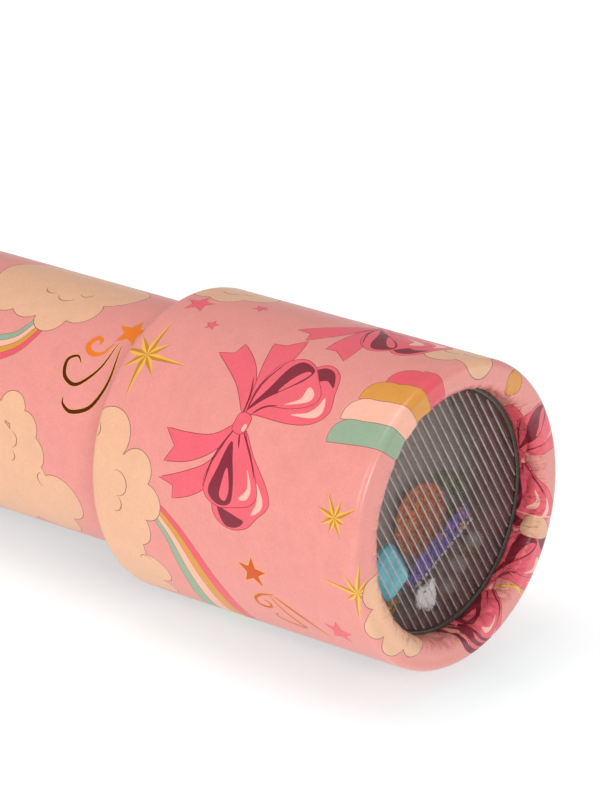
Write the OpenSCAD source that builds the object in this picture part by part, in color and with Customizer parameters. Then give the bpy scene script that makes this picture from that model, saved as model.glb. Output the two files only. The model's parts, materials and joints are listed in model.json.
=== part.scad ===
// Kaleidoscope: a card viewing tube with three mirrors, and a turning head that holds a
// chamber of loose coloured pieces behind a ribbed window. Millimetres, Z up. The object lies
// on its side: its axis runs along X with the head at +X, and it rests on the rear edge of
// the head and on the rim of the eye end. The origin is under the middle of its length.

/* [Overall] */
// Length from the eye end to the front lip
total_len = 172; // [165:1:200]
// Thickness of the printed wrapping paper
paper_t = 0.25; // [0.2:0.05:0.35]

/* [Turning head] */
// Outer diameter of the head over its paper
head_d = 58; // [57:0.5:62]
// Length of the head
head_len = 64; // [62:1:70]
// Wall of the head's outer card tube
head_wall = 2.6; // [2:0.1:3]
// Wall seen at the front lip, paper to paper
lip_wall = 5.4; // [5:0.1:6]
// Depth of the front window behind the lip
window_recess = 4.8; // [4:0.1:8]
// How far the paper is turned in at the rear of the head
rear_turn_in = 5; // [3:0.5:10]
// Outer rounding of the head's two ends
end_round = 1.6; // [1:0.1:2]

/* [Chamber] */
// Clear depth between the chamber's two windows
chamber_depth = 13; // [12:0.5:15]
// Thickness of the ribbed front window
front_window_t = 2; // [1.5:0.1:2.5]
// Thickness of the chamber's rear window
rear_window_t = 1.2; // [1:0.1:1.5]
// Wall of the ring between the two windows
chamber_wall = 1.7; // [1.5:0.1:2]

/* [Main tube] */
// Outer diameter of the main tube over its paper
tube_d = 47.6; // [46:0.1:47.8]
// Wall of the main card tube
tube_wall = 2; // [1.5:0.1:2.2]
// Diameter of the peephole
peephole_d = 11; // [8:0.5:14]
// Length of the stop ring that keeps the head on
stop_len = 6; // [4:0.5:8]

/* [Mirrors] */
// Thickness of each mirror strip
mirror_t = 1.8; // [1:0.1:2]
// Distance from the axis to each mirror's face
mirror_r = 10; // [8:0.1:10.2]
// Width of the tape bands round the mirrors
band_w = 6; // [4:0.5:10]

/* [Hidden] */
$fn = 96;

card = "#b08d66";
print_pink = "#f5a197";
clear_plastic = [0.75, 0.75, 0.75, 0.4];

// Radii
head_r = head_d / 2;
head_card_r = head_r - paper_t;
head_bore_r = head_card_r - head_wall;
mouth_r = head_r - lip_wall;
tube_r = tube_d / 2;
tube_card_r = tube_r - paper_t;
tube_bore_r = tube_card_r - tube_wall;
run_gap = 0.1;
paper_bore_r = tube_r + run_gap;
collar_bore_r = paper_bore_r + paper_t;
chamber_r = head_bore_r - chamber_wall;
slip = 0.05;

// Stations along the axis, counted from the eye end
head_rear = total_len - head_len;
window_front = total_len - window_recess;
window_back = window_front - front_window_t;
chamber_back = window_back - chamber_depth;
rear_window_back = chamber_back - rear_window_t;
seat_t = 1.5;
seat_back = rear_window_back - seat_t;
turn_gap = 0.4;
tube_front = seat_back - turn_gap;
stop_back = tube_front - stop_len;
collar_front = stop_back - turn_gap;
eye_disc_t = 2;
eye_window_t = 1;
eye_ring_t = 2;
eye_disc_front = paper_t + eye_disc_t;
eye_window_front = eye_disc_front + eye_window_t;
eye_ring_front = eye_window_front + eye_ring_t;
tube_window_t = 1;
tube_window_ring_t = 1.8;
mirror_gap = 0.2;
tube_window_front = tube_front - tube_window_ring_t;
tube_window_back = tube_window_front - tube_window_t;
mirror_back = eye_ring_front + mirror_gap;
mirror_len = tube_window_back - mirror_gap - mirror_back;
eye_paper_turn = 6;

// The rounded rims that the object rests on: the eye end's and the rear of the head
eye_round = 1 + paper_t;
eye_round_c = [tube_r - eye_round, eye_round];
head_round_c = [head_r - end_round, head_rear + end_round];

// The resting tilt lays both rims on the floor
rim_rise = head_round_c[0] - eye_round_c[0];
rim_run = head_round_c[1] - eye_round_c[1];
rim_reach = norm([rim_rise, rim_run]);
rest_tilt = atan(rim_rise / rim_run) + asin((end_round - eye_round) / rim_reach);
rest_lift = eye_round_c[0] * cos(rest_tilt) - eye_round_c[1] * sin(rest_tilt) + eye_round;

// Lays a piece, modelled along +Z from the eye end, into its resting place
module lie() {
    translate([-total_len / 2, 0, rest_lift])
        rotate([0, -rest_tilt, 0])
            rotate([0, 90, 0])
                children();
}

// Points of a quarter round about c, from angle a0 to a1
function arc(c, r, a0, a1, n = 6) =
    [for (i = [0 : n]) c + r * [cos(a0 + (a1 - a0) * i / n), sin(a0 + (a1 - a0) * i / n)]];

// A ring or tube between two stations
module ring(r_out, r_in, z0, z1) {
    translate([0, 0, z0])
        difference() {
            cylinder(r = r_out, h = z1 - z0);
            translate([0, 0, -1])
                cylinder(r = r_in, h = z1 - z0 + 2);
        }
}

module disc(r, z0, z1) {
    translate([0, 0, z0])
        cylinder(r = r, h = z1 - z0);
}

// Main tube
module main_tube() {
    color(card)
        lie()
            rotate_extrude()
                polygon(concat(
                    [[tube_bore_r, paper_t]],
                    arc(eye_round_c, eye_round - paper_t, -90, 0),
                    [[tube_card_r, tube_front], [tube_bore_r, tube_front]]));
}

module tube_wrap() {
    color(print_pink)
        lie()
            rotate_extrude()
                polygon(concat(
                    [[tube_card_r - eye_paper_turn, paper_t], [tube_card_r - eye_paper_turn, 0]],
                    arc(eye_round_c, eye_round, -90, 0),
                    [[tube_r, stop_back - slip], [tube_card_r, stop_back - slip]],
                    arc(eye_round_c, eye_round - paper_t, 0, -90)));
}

module eye_disc() {
    color(card)
        lie()
            ring(tube_bore_r, peephole_d / 2, paper_t, eye_disc_front);
}

module eye_end_paper() {
    color(print_pink)
        lie()
            ring(tube_card_r - eye_paper_turn, peephole_d / 2, 0, paper_t);
}

module eye_window() {
    color(clear_plastic)
        lie()
            disc(tube_bore_r - slip, eye_disc_front, eye_window_front);
}

module eye_retainer_ring() {
    color(card)
        lie()
            ring(tube_bore_r, peephole_d / 2 + 3, eye_window_front, eye_ring_front);
}

// Mirrors: three strips round the axis, their faces towards it
mirror_half_w = mirror_r * sqrt(3) - slip;
mirror_out = mirror_r + mirror_t;

module mirror_strip(turn) {
    color("silver")
        lie()
            rotate([0, 0, turn])
                translate([mirror_r, -mirror_half_w, mirror_back])
                    cube([mirror_t, 2 * mirror_half_w, mirror_len]);
}

module mirror_bottom() mirror_strip(0);
module mirror_left() mirror_strip(120);
module mirror_right() mirror_strip(240);

// The outline round the three strips, grown by g
function strip_corners(g) = [for (turn = [0, 120, 240], side = [-1, 1])
    let (x = mirror_out + g, y = side * (mirror_half_w + g * tan(30)))
        [x * cos(turn) - y * sin(turn), x * sin(turn) + y * cos(turn)]];

band_t = 0.3;

module mirror_band(z0) {
    color("white")
        lie()
            translate([0, 0, z0])
                linear_extrude(height = band_w)
                    difference() {
                        polygon(strip_corners(band_t));
                        polygon(strip_corners(0));
                    }
}

band_inset = 6;
module mirror_band_rear() mirror_band(mirror_back + band_inset);
module mirror_band_front() mirror_band(mirror_back + mirror_len - band_inset - band_w);

// Foam between the back of each mirror and the tube
pad_inset = band_inset + band_w + 4;
pad_gap = 0.1;

module packing_pad(turn) {
    color("dimgray")
        lie()
            rotate([0, 0, turn])
                intersection() {
                    disc(tube_bore_r - pad_gap, mirror_back + pad_inset,
                        mirror_back + mirror_len - pad_inset);
                    translate([mirror_out, -tube_r, 0])
                        cube([tube_r, 2 * tube_r, total_len]);
                }
}

module packing_pad_bottom() packing_pad(0);
module packing_pad_left() packing_pad(120);
module packing_pad_right() packing_pad(240);

module tube_window() {
    color(clear_plastic)
        lie()
            disc(tube_bore_r - slip, tube_window_back, tube_window_front);
}

module tube_window_ring() {
    color(card)
        lie()
            ring(tube_bore_r, tube_bore_r - 3, tube_window_front, tube_front);
}

module stop_ring() {
    color(card)
        lie()
            ring(head_bore_r - 0.3, tube_card_r, stop_back, tube_front);
}

// Turning head: its outer paper rounds the two ends, and turns in over the lip
card_round = end_round - paper_t;
front_round_c = [head_r - end_round, total_len - end_round];
lip_inner_round = 2;
lip_c = [mouth_r + lip_inner_round, total_len - lip_inner_round];

module head_tube() {
    color(card)
        lie()
            rotate_extrude()
                polygon(concat(
                    [[head_bore_r, head_rear + paper_t]],
                    arc(head_round_c, card_round, -90, 0),
                    arc(front_round_c, card_round, 0, 90),
                    [[head_bore_r, total_len - paper_t]]));
}

module head_collar() {
    color(card)
        lie()
            ring(head_bore_r, collar_bore_r, head_rear + paper_t, collar_front);
}

// The paper runs up the bore of the collar, round the rear end, along the outside, over the
// lip and down to the front window
module head_wrap() {
    color(print_pink)
        lie()
            rotate_extrude()
                polygon(concat(
                    [[paper_bore_r, head_rear + rear_turn_in], [paper_bore_r, head_rear]],
                    arc(head_round_c, end_round, -90, 0),
                    arc(front_round_c, end_round, 0, 90),
                    arc(lip_c, lip_inner_round, 90, 180),
                    [[mouth_r, window_front], [mouth_r + paper_t, window_front]],
                    arc(lip_c, lip_inner_round - paper_t, 180, 90),
                    arc(front_round_c, card_round, 90, 0),
                    arc(head_round_c, card_round, 0, -90),
                    [[collar_bore_r, head_rear + paper_t],
                     [collar_bore_r, head_rear + rear_turn_in]]));
}

module lip_ring() {
    color(card)
        lie()
            rotate_extrude()
                polygon(concat(
                    [[head_bore_r, window_front], [head_bore_r, total_len - paper_t]],
                    arc(lip_c, lip_inner_round - paper_t, 90, 180),
                    [[mouth_r + paper_t, window_front]]));
}

module chamber_front_window() {
    color(clear_plastic)
        lie()
            disc(head_bore_r - slip, window_back, window_front);
}

module chamber_ring() {
    color("dimgray")
        lie()
            ring(head_bore_r, chamber_r, chamber_back, window_back);
}

module chamber_rear_window() {
    color(clear_plastic)
        lie()
            disc(head_bore_r - slip, rear_window_back, chamber_back);
}

module window_seat_ring() {
    color(card)
        lie()
            ring(head_bore_r, tube_bore_r - 1, seat_back, rear_window_back);
}

// Loose pieces, in three layers of the chamber, each clear of the walls and of the others.
// down and side are a piece's place from the axis: towards the floor, and along +Y.
layer_gap = 0.5;
layer_t = (chamber_depth - 4 * layer_gap) / 3;
rear_layer = chamber_back + layer_gap;
middle_layer = rear_layer + layer_t + layer_gap;
front_layer = middle_layer + layer_t + layer_gap;

module loose(down, side, z, turn = 0) {
    lie()
        translate([down, side, z])
            rotate([0, 0, turn])
                children();
}

module flat_piece(long, wide, thick) {
    translate([-long / 2, -wide / 2, 0])
        cube([long, wide, thick]);
}

// Front layer
module white_flake() {
    color("white")
        loose(17.6, -0.6, front_layer + 1.6, 20)
            linear_extrude(height = 1.2)
                polygon([[-3, -1.5], [-1, -2.6], [2, -2.2], [3.2, 0.2], [1.2, 2.4], [-2, 2]]);
}

module blue_gem() {
    color("deepskyblue")
        loose(10, -9.4, front_layer + 1.2, 30)
            flat_piece(10, 7.5, 1.6);
}

bead_r = 1.7;

module clear_beads() {
    color(clear_plastic)
        for (spot = [[15.5, 10.5], [12.2, 15.2], [18.6, 7.2]])
            loose(spot[0], spot[1], front_layer + layer_t / 2)
                sphere(r = bead_r);
}

// Middle layer
module sequin_strip() {
    color("slateblue")
        loose(12.7, 9.5, middle_layer + 1.4, 115.5)
            flat_piece(20.5, 4.6, 0.8);
}

module rose_gem() {
    color("hotpink")
        loose(14.5, -11, middle_layer + 1, -20)
            flat_piece(7, 6, 1.4);
}

module gold_star_piece() {
    color("gold")
        loose(20, -3.6, middle_layer + 1, 15)
            linear_extrude(height = 0.6)
                polygon([for (i = [0 : 9]) (i % 2 == 0 ? 3 : 1.3) * [cos(36 * i), sin(36 * i)]]);
}

// Rear layer
module orange_glitter_disc() {
    color("darkorange")
        loose(8.6, 10.2, rear_layer + 1)
            cylinder(r = 7, h = 1.2);
}

module green_beads() {
    color("yellowgreen")
        for (spot = [[3, 17.4], [5.8, 20.8], [10.5, 19.3]])
            loose(spot[0], spot[1], rear_layer + 0.6)
                cylinder(r = bead_r, h = 2.4);
}

module amber_bead() {
    color("orange")
        loose(11, -14, rear_layer + 0.6)
            cylinder(r = 3.2, h = 2.4);
}

main_tube();
tube_wrap();
eye_disc();
eye_end_paper();
eye_window();
eye_retainer_ring();
mirror_bottom();
mirror_left();
mirror_right();
mirror_band_rear();
mirror_band_front();
packing_pad_bottom();
packing_pad_left();
packing_pad_right();
tube_window();
tube_window_ring();
stop_ring();
head_tube();
head_wrap();
head_collar();
window_seat_ring();
chamber_rear_window();
chamber_ring();
chamber_front_window();
lip_ring();
white_flake();
blue_gem();
clear_beads();
sequin_strip();
rose_gem();
gold_star_piece();
orange_glitter_disc();
green_beads();
amber_bead();
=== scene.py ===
"""Builds the looks of a paper-covered kaleidoscope that lies on a pale table.

The card tubes, rings, mirrors and bodies come from the frame. The printed papers, the ribbed
window and the loose coloured pieces are modelled here, each in its own place in the frame.
Sizes are in millimetres until a piece is laid along the tube's axis.
"""
import json
import random
from math import atan2, ceil, cos, hypot, pi, radians, sin, sqrt, tau

import bmesh
import bpy
import numpy as np
from bpy.props import FloatProperty, FloatVectorProperty, PointerProperty
from mathutils import Matrix, Vector, noise
from mathutils.geometry import delaunay_2d_cdt


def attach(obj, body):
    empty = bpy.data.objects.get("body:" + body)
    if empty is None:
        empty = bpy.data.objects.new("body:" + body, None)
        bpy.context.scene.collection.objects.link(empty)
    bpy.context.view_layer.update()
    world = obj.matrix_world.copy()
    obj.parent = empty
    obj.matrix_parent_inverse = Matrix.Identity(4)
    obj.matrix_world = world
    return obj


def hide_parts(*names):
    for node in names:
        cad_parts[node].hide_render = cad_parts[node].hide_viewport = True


bl_info = {
    "name": "Paper Kaleidoscope",
    "version": (1, 0, 0),
    "blender": (4, 5, 0),
    "location": "3D View > Sidebar > Kaleidoscope",
    "description": "Builds the papers, ribbed window and loose pieces of a kaleidoscope",
    "category": "Object",
}

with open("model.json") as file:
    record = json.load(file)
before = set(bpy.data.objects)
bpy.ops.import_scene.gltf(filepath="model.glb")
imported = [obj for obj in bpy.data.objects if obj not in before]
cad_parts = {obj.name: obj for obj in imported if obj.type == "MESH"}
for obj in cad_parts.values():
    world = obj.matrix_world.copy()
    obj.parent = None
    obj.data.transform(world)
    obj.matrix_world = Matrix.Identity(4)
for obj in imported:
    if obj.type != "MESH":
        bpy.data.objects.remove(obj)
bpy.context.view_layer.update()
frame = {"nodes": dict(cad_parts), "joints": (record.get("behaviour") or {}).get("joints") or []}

MM = 0.001
TURN = frame["joints"][0]
AXIS = Vector(TURN["axis"]).normalized()
RISE = AXIS.cross(Vector((0, 1, 0))).normalized() * -1
if RISE.z < 0:
    RISE = -RISE
ACROSS = RISE.cross(AXIS).normalized()
if ACROSS.y < 0:
    ACROSS = -ACROSS

# sizes of the kaleidoscope in its own section; lengths run from the eye end
LENGTH = 172.0
HEAD_REAR = 108.0
HEAD_RADIUS = 29.0
TUBE_RADIUS = 23.8
MOUTH_RADIUS = 23.6
END_ROUND = 1.6
LIP_ROUND = 2.0
EYE_ROUND = 1.25
WINDOW_RADIUS = 26.1
WINDOW_BACK = 165.2
WINDOW_FRONT = 167.0
# how far from the eye end each layer of the chamber begins
REAR_LAYER = 152.7
MIDDLE_LAYER = 156.87
FRONT_LAYER = 161.03


def axis_start():
    """The point of the axis at the eye end: the head's wrap ends LENGTH in front of it."""
    through = Vector(TURN["pos_m"])
    ends = [(v.co - through).dot(AXIS) for v in frame["nodes"]["head_wrap"].data.vertices]
    return through + AXIS * (max(ends) - LENGTH * MM)


EYE_END = axis_start()
# from millimetres across, above and along the tube's axis to a place in the frame
LIE = Matrix((
    (ACROSS.x * MM, RISE.x * MM, AXIS.x * MM, EYE_END.x),
    (ACROSS.y * MM, RISE.y * MM, AXIS.y * MM, EYE_END.y),
    (ACROSS.z * MM, RISE.z * MM, AXIS.z * MM, EYE_END.z),
    (0, 0, 0, 1),
))


def linear(red, green, blue):
    """A colour given as 0 to 255 values, as the linear colour that shaders use."""
    out = []
    for value in (red, green, blue):
        v = value / 255
        out.append(v / 12.92 if v <= 0.04045 else ((v + 0.055) / 1.055) ** 2.4)
    return tuple(out)


def colour_property(name, description, rgb):
    return FloatVectorProperty(name=name, description=description, subtype="COLOR", size=3,
                               min=0.0, max=1.0, default=linear(*rgb))


def size_property(name, description, mm, low=0.0, high=200.0):
    return FloatProperty(name=name, description=description + ", in millimetres",
                         default=mm, min=low, max=high)


class PrintColours(bpy.types.PropertyGroup):
    paper: colour_property("Paper", "Pink ground of the printed paper", (233, 149, 140))
    cloud: colour_property("Cloud", "Cream of the clouds", (235, 181, 146))
    cloud_line: colour_property("Cloud line", "Brown line round the clouds", (140, 95, 70))
    bow: colour_property("Bow", "Ribbon of the bows", (238, 98, 112))
    bow_line: colour_property("Bow line", "Line round the bows", (170, 50, 70))
    maroon: colour_property("Bow inside", "Dark inside of the bow loops", (130, 32, 50))
    bow_light: colour_property("Bow highlight", "Light patches on the bows", (250, 188, 172))
    rose: colour_property("Rose band", "First band of the rainbows", (234, 88, 102))
    ochre: colour_property("Ochre band", "Second band of the rainbows", (222, 150, 62))
    pale: colour_property("Pale band", "Third band of the rainbows", (249, 184, 160))
    sage: colour_property("Sage band", "Last band of the rainbows", (150, 172, 144))
    gold: colour_property("Gold", "Light half of the gold rays", (248, 188, 78))
    gold_shade: colour_property("Gold shade", "Dark half of the gold rays", (202, 134, 50))
    copper: colour_property("Copper", "Orange foil", (246, 126, 18))
    rust: colour_property("Rust foil", "Burnt orange foil", (208, 84, 20))
    foil: colour_property("Dark foil", "Dark brown foil of the scrolls", (108, 36, 16))


class PaperSizes(bpy.types.PropertyGroup):
    thickness: size_property("Thickness", "Thickness of the printed paper", 0.25, 0.05, 1)
    pleat: size_property("Pleat height", "Height of the pleats inside the lip", 0.42, 0, 1)
    swell: size_property("Lip swell", "How far the lip bulges towards the axis", 0.5, 0, 2)


class WindowSizes(bpy.types.PropertyGroup):
    pitch: size_property("Rib pitch", "Distance between the window's ribs", 1.69, 0.5, 5)
    rib: size_property("Rib width", "Width of one rib", 0.34, 0.1, 2)
    flat_edge: size_property("Flat edge", "Unribbed edge seen inside the lip", 1.4, 0, 5)
    lean: FloatProperty(name="Rib lean", description="Slope of the ribs, down to the right",
                        subtype="ANGLE", default=radians(61.4))
    clear: colour_property("Clear plastic", "Tint of the window", (150, 132, 126))
    # the pale rib colour is a painted highlight along the clear ribs' tops
    ridge: colour_property("Rib tops", "Pale tops of the ribs", (222, 206, 200))
    edge: colour_property("Window edge", "Olive-grey flat edge of the window", (92, 90, 82))


class PieceColours(bpy.types.PropertyGroup):
    flake: colour_property("White flake", "Crumpled white scrap", (252, 252, 252))
    blue: colour_property("Turquoise gem", "Flat turquoise gem", (92, 218, 242))
    rose: colour_property("Rose gem", "Red-brown gem", (112, 30, 34))
    sequin: colour_property("Sequins", "Purple sequin braid", (104, 82, 190))
    glitter: colour_property("Glitter disc", "Orange glitter disc", (232, 120, 64))
    green: colour_property("Green beads", "Green glass beads", (100, 124, 68))
    amber: colour_property("Amber bead", "Amber glass bead", (196, 110, 30))
    star: colour_property("Foil star", "Small gold foil star", (224, 170, 70))
    bead: colour_property("Clear beads", "Clear glass beads", (224, 228, 224))


class BodyColours(bpy.types.PropertyGroup):
    card: colour_property("Card", "Grey-brown tube card", (176, 152, 122))
    end_paper: colour_property("End paper", "Paper over the eye end", (240, 140, 136))
    plastic: colour_property("Chamber", "Smoky chamber wall", (108, 46, 42))
    haze: colour_property("Chamber rear", "Chamber wall near the rear window", (116, 101, 95))
    clear: colour_property("Inner windows", "Clear discs inside", (186, 176, 170))
    mirror: colour_property("Mirror", "Mirror strips", (214, 216, 220))
    tape: colour_property("Tape", "Bands round the mirrors", (206, 186, 140))
    foam: colour_property("Foam", "Packing between the mirrors and the tube", (205, 205, 200))


class StageSettings(bpy.types.PropertyGroup):
    floor: colour_property("Floor", "Pale table top", (188, 188, 188))
    glow: FloatProperty(name="Table glow", description="Light that the table gives off",
                        default=0.66)
    distance: FloatProperty(name="Camera distance", description="From the lens to the head",
                            unit="LENGTH", default=0.84767, min=0.1)
    azimuth: FloatProperty(name="Azimuth", description="Turn of the view round the object",
                           subtype="ANGLE", default=radians(40.7252))
    elevation: FloatProperty(name="Elevation", description="Height of the view above level",
                             subtype="ANGLE", default=radians(23.9065))
    lens: FloatProperty(name="Lens", description="Focal length", unit="CAMERA", default=212.51)
    key: FloatProperty(name="Key light", description="Power of the main soft light", default=6.0)
    fill: FloatProperty(name="Sky", description="Strength of the even light from all round",
                        default=0.42)


# ---- drawing on the flat paper: a drawing is a list of (outline, ink) in painter's order ----

INKS = ("paper", "cloud", "cloud_line", "bow", "bow_line", "maroon", "bow_light", "rose", "ochre",
        "pale", "sage", "gold", "gold_shade", "copper", "rust", "foil")
# how metallic each foil ink is
FOIL_INKS = {"gold": 0.2, "gold_shade": 0.2, "copper": 0.15, "rust": 0.3, "foil": 0.6}
# half the width of a printed outline
LINE = 0.075


def curve(points, closed=True, steps=5):
    """A smooth line through a few points."""
    n = len(points)
    out = []
    for i in range(n if closed else n - 1):
        if closed:
            p = [points[(i + k) % n] for k in (-1, 0, 1, 2)]
        else:
            p = [points[min(max(i + k, 0), n - 1)] for k in (-1, 0, 1, 2)]
        for s in range(steps):
            t = s / steps
            weights = (-0.5 * t + t * t - 0.5 * t ** 3, 1 - 2.5 * t * t + 1.5 * t ** 3,
                       0.5 * t + 2 * t * t - 1.5 * t ** 3, -0.5 * t * t + 0.5 * t ** 3)
            out.append(tuple(sum(w * q[k] for w, q in zip(weights, p)) for k in (0, 1)))
    if not closed:
        out.append(points[-1])
    return out


def disc(x, y, r):
    """A round outline, with more sides the larger it is."""
    sides = max(14, int(10 * r ** 0.5) + 8)
    return [(x + r * cos(tau * i / sides), y + r * sin(tau * i / sides)) for i in range(sides)]


def arc(x, y, r, start, end, steps=9):
    """Points along a part of a circle, from one angle in degrees to another."""
    return [(x + r * cos(radians(start + (end - start) * i / steps)),
             y + r * sin(radians(start + (end - start) * i / steps))) for i in range(steps + 1)]


def sideways(points, widths, closed=False):
    """Each point moved square to the line's way there, to its right, by its own width."""
    last = len(points) - 1
    out = []
    for i, ((x, y), w) in enumerate(zip(points, widths)):
        ax, ay = points[i - 1 if closed else max(i - 1, 0)]
        bx, by = points[(i + 1) % (last + 1) if closed else min(i + 1, last)]
        size = hypot(bx - ax, by - ay) or 1
        out.append((x + w * (by - ay) / size, y - w * (bx - ax) / size))
    return out


def grow(points, by):
    """The closed outline moved outwards by a small distance."""
    area = sum(points[i - 1][0] * points[i][1] - points[i][0] * points[i - 1][1]
               for i in range(len(points)))
    return sideways(points, [by if area > 0 else -by] * len(points), True)


def stroke(points, start, end=None, middle=None):
    """A line along the points, with its half width at the start, the end and the middle."""
    end = start if end is None else end
    more = 0 if middle is None else middle - (start + end) / 2
    along = [i / (len(points) - 1) for i in range(len(points))]
    widths = [start + (end - start) * t + more * sin(pi * t) for t in along]
    return sideways(points, widths) + sideways(points, [-w for w in widths])[::-1]


def outlined(points, ink, line, width=LINE):
    """An inked shape with a line round it."""
    return [(grow(points, width), line), (grow(points, -width), ink)]


def turned(drawing, x=0.0, y=0.0, turn=0.0, size=1.0, flip=1, squeeze=1.0):
    """A drawing turned, sized and put in its place on the flat paper."""
    c, s = cos(radians(turn)), sin(radians(turn))
    out = []
    for points, ink in drawing:
        out.append(([(x + (flip * px * c - py * s) * size * squeeze,
                      y + (flip * px * s + py * c) * size) for px, py in points], ink))
    return out


def star(r, inner=0.42, points=5):
    """A star's outline. inner is how far in the notches are, as a part of the radius."""
    reach = [r if i % 2 == 0 else r * inner for i in range(2 * points)]
    return [(q * sin(pi * i / points), -q * cos(pi * i / points)) for i, q in enumerate(reach)]


def cloud(lobes, curls=()):
    """Round lobes run together, a line round them all, and curled lines inside."""
    drawing = [(disc(x, y, r + LINE), "cloud_line") for x, y, r in lobes]
    drawing += [(disc(x, y, r - LINE), "cloud") for x, y, r in lobes]
    for x, y, r, start, end in curls:
        drawing.append((stroke(arc(x, y, r, start, end), 0.02, 0.02, 0.11), "cloud_line"))
    return drawing


def rainbow(path, widths, inks=("rose", "ochre", "pale", "sage")):
    """Bands side by side along a path. widths are a band's width at the two ends."""
    n = len(path) - 1
    wide = [widths[0] + (widths[1] - widths[0]) * i / n for i in range(n + 1)]
    lines = [sideways(path, [w * k for w in wide]) for k in (-2, -1, 0, 1, 2)]
    drawing = []
    for one, two, ink in zip(lines, lines[1:], inks):
        drawing += outlined(one + two[::-1], ink, "cloud_line", 0.05)
    return drawing


def sparkle(lengths, lean=0.0, base=1.35):
    """A gold star of eight rays of the given lengths, each with a light and a dark half."""
    drawing = []
    for k, long in enumerate(lengths):
        a = tau * k / len(lengths) + radians(lean)
        tip = (long * sin(a), -long * cos(a))
        one = (base * sin(a + tau / 16), -base * cos(a + tau / 16))
        two = (base * sin(a - tau / 16), -base * cos(a - tau / 16))
        drawing.append(([(0, 0), two, tip], "gold"))
        drawing.append(([(0, 0), tip, one], "gold_shade"))
    return drawing


# each tail: one side, the notch in its end, the other side
BOW_TAILS = (
    ([(-0.9, -1.2), (-4.6, -5.6), (-9.0, -8.8), (-13.2, -11.4)], (-9.9, -12.3),
     [(-9.4, -15.0), (-5.2, -12.2), (-2.4, -9.2), (-0.2, -5.0), (0.4, -1.2)]),
    ([(-0.4, -1.4), (-1.3, -7.0), (-2.8, -12.4), (-4.2, -17.0)], (-1.6, -17.3),
     [(1.4, -20.2), (2.4, -15.6), (2.0, -9.0), (1.0, -1.4)]),
    ([(-1.0, 0.8), (-5.0, 3.9), (-10.4, 4.9), (-15.8, 5.1)], (-13.0, 8.0),
     [(-14.8, 11.2), (-9.2, 10.0), (-4.2, 7.2), (-0.3, 3.0)]),
    ([(-0.9, 2.0), (-4.2, 8.6), (-9.6, 11.9), (-15.4, 14.3)], (-12.0, 15.1),
     [(-12.0, 17.6), (-6.8, 15.6), (-2.4, 11.6), (0.2, 3.0)]),
)
# each loop: its outline, its dark inside, its highlight
BOW_LOOPS = (
    ([(0.6, -1.2), (4.2, -7.0), (7.6, -13.6), (10.6, -15.5), (14.0, -13.7), (15.8, -9.6),
      (17.0, -5.6), (14.6, -2.8), (9.6, -1.6), (2.2, -1.5)],
     [(8.0, -12.4), (9.8, -14.6), (12.6, -14.0), (14.6, -10.8), (12.4, -11.9), (10.2, -11.2)],
     [(14.4, -8.4), (15.6, -5.6), (14.2, -3.9), (9.4, -3.4), (12.6, -4.6), (14.0, -6.4)]),
    ([(-0.6, -1.2), (-0.3, -7.0), (0.9, -12.4), (4.0, -15.2), (7.4, -14.6), (10.6, -11.6),
      (13.2, -8.6), (12.6, -6.2), (8.6, -4.4), (3.6, -3.6), (1.0, -1.2)],
     [(-0.2, -1.8), (2.0, -7.2), (3.2, -12.6), (5.0, -14.6), (8.4, -13.4), (8.0, -10.8),
      (5.6, -8.0), (2.4, -4.8)],
     [(9.8, -9.6), (11.8, -8.4), (11.4, -6.6), (7.0, -4.9), (9.6, -6.8)]),
    ([(1.2, 1.6), (5.4, 6.0), (9.4, 10.2), (10.8, 13.6), (8.2, 16.6), (5.8, 19.0), (2.0, 20.0),
      (-1.4, 18.6), (-2.4, 15.2), (-0.6, 7.0)],
     [(-1.2, 16.2), (0.6, 16.6), (3.4, 17.3), (5.2, 17.9), (3.4, 19.4), (0.6, 19.4)],
     [(7.2, 10.2), (9.2, 12.8), (9.0, 14.8), (6.9, 16.2), (8.0, 13.4)]),
    ([(-0.6, 1.2), (-2.6, 6.4), (-4.8, 11.6), (-4.2, 15.0), (-1.0, 16.4), (2.6, 15.8),
      (6.4, 14.6), (7.8, 12.2), (6.0, 8.0), (3.4, 4.4), (1.2, 1.4)],
     [(-0.6, 4.2), (-2.2, 9.6), (-3.6, 14.0), (-1.2, 16.0), (1.8, 15.2), (2.0, 11.6),
      (0.8, 7.4)],
     [(4.6, 8.4), (6.2, 11.4), (5.6, 13.6), (3.7, 13.9), (5.4, 11.6)]),
)
# ribbon that shows inside the loops
BOW_SEEN = (
    [(7.0, -12.6), (8.2, -12.4), (6.8, -9.8), (4.2, -7.0), (5.4, -10.4)],
    [(0.0, 9.0), (1.2, 12.6), (0.6, 15.0), (-0.8, 14.4), (-0.7, 12.0)],
)
BOW_CREASES = (
    [(-0.5, -1.4), (-1.0, -5.0), (-2.6, -8.6)], [(0.0, -1.6), (0.0, -7.4), (1.8, -13.4)],
    [(1.6, -1.8), (3.2, -3.4), (5.8, -4.4)], [(-1.0, 2.2), (-3.6, 8.0), (-4.8, 13.8)],
    [(0.6, 2.6), (1.4, 5.2)], [(1.3, 2.0), (4.6, 6.0), (6.6, 9.6)],
)


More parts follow.
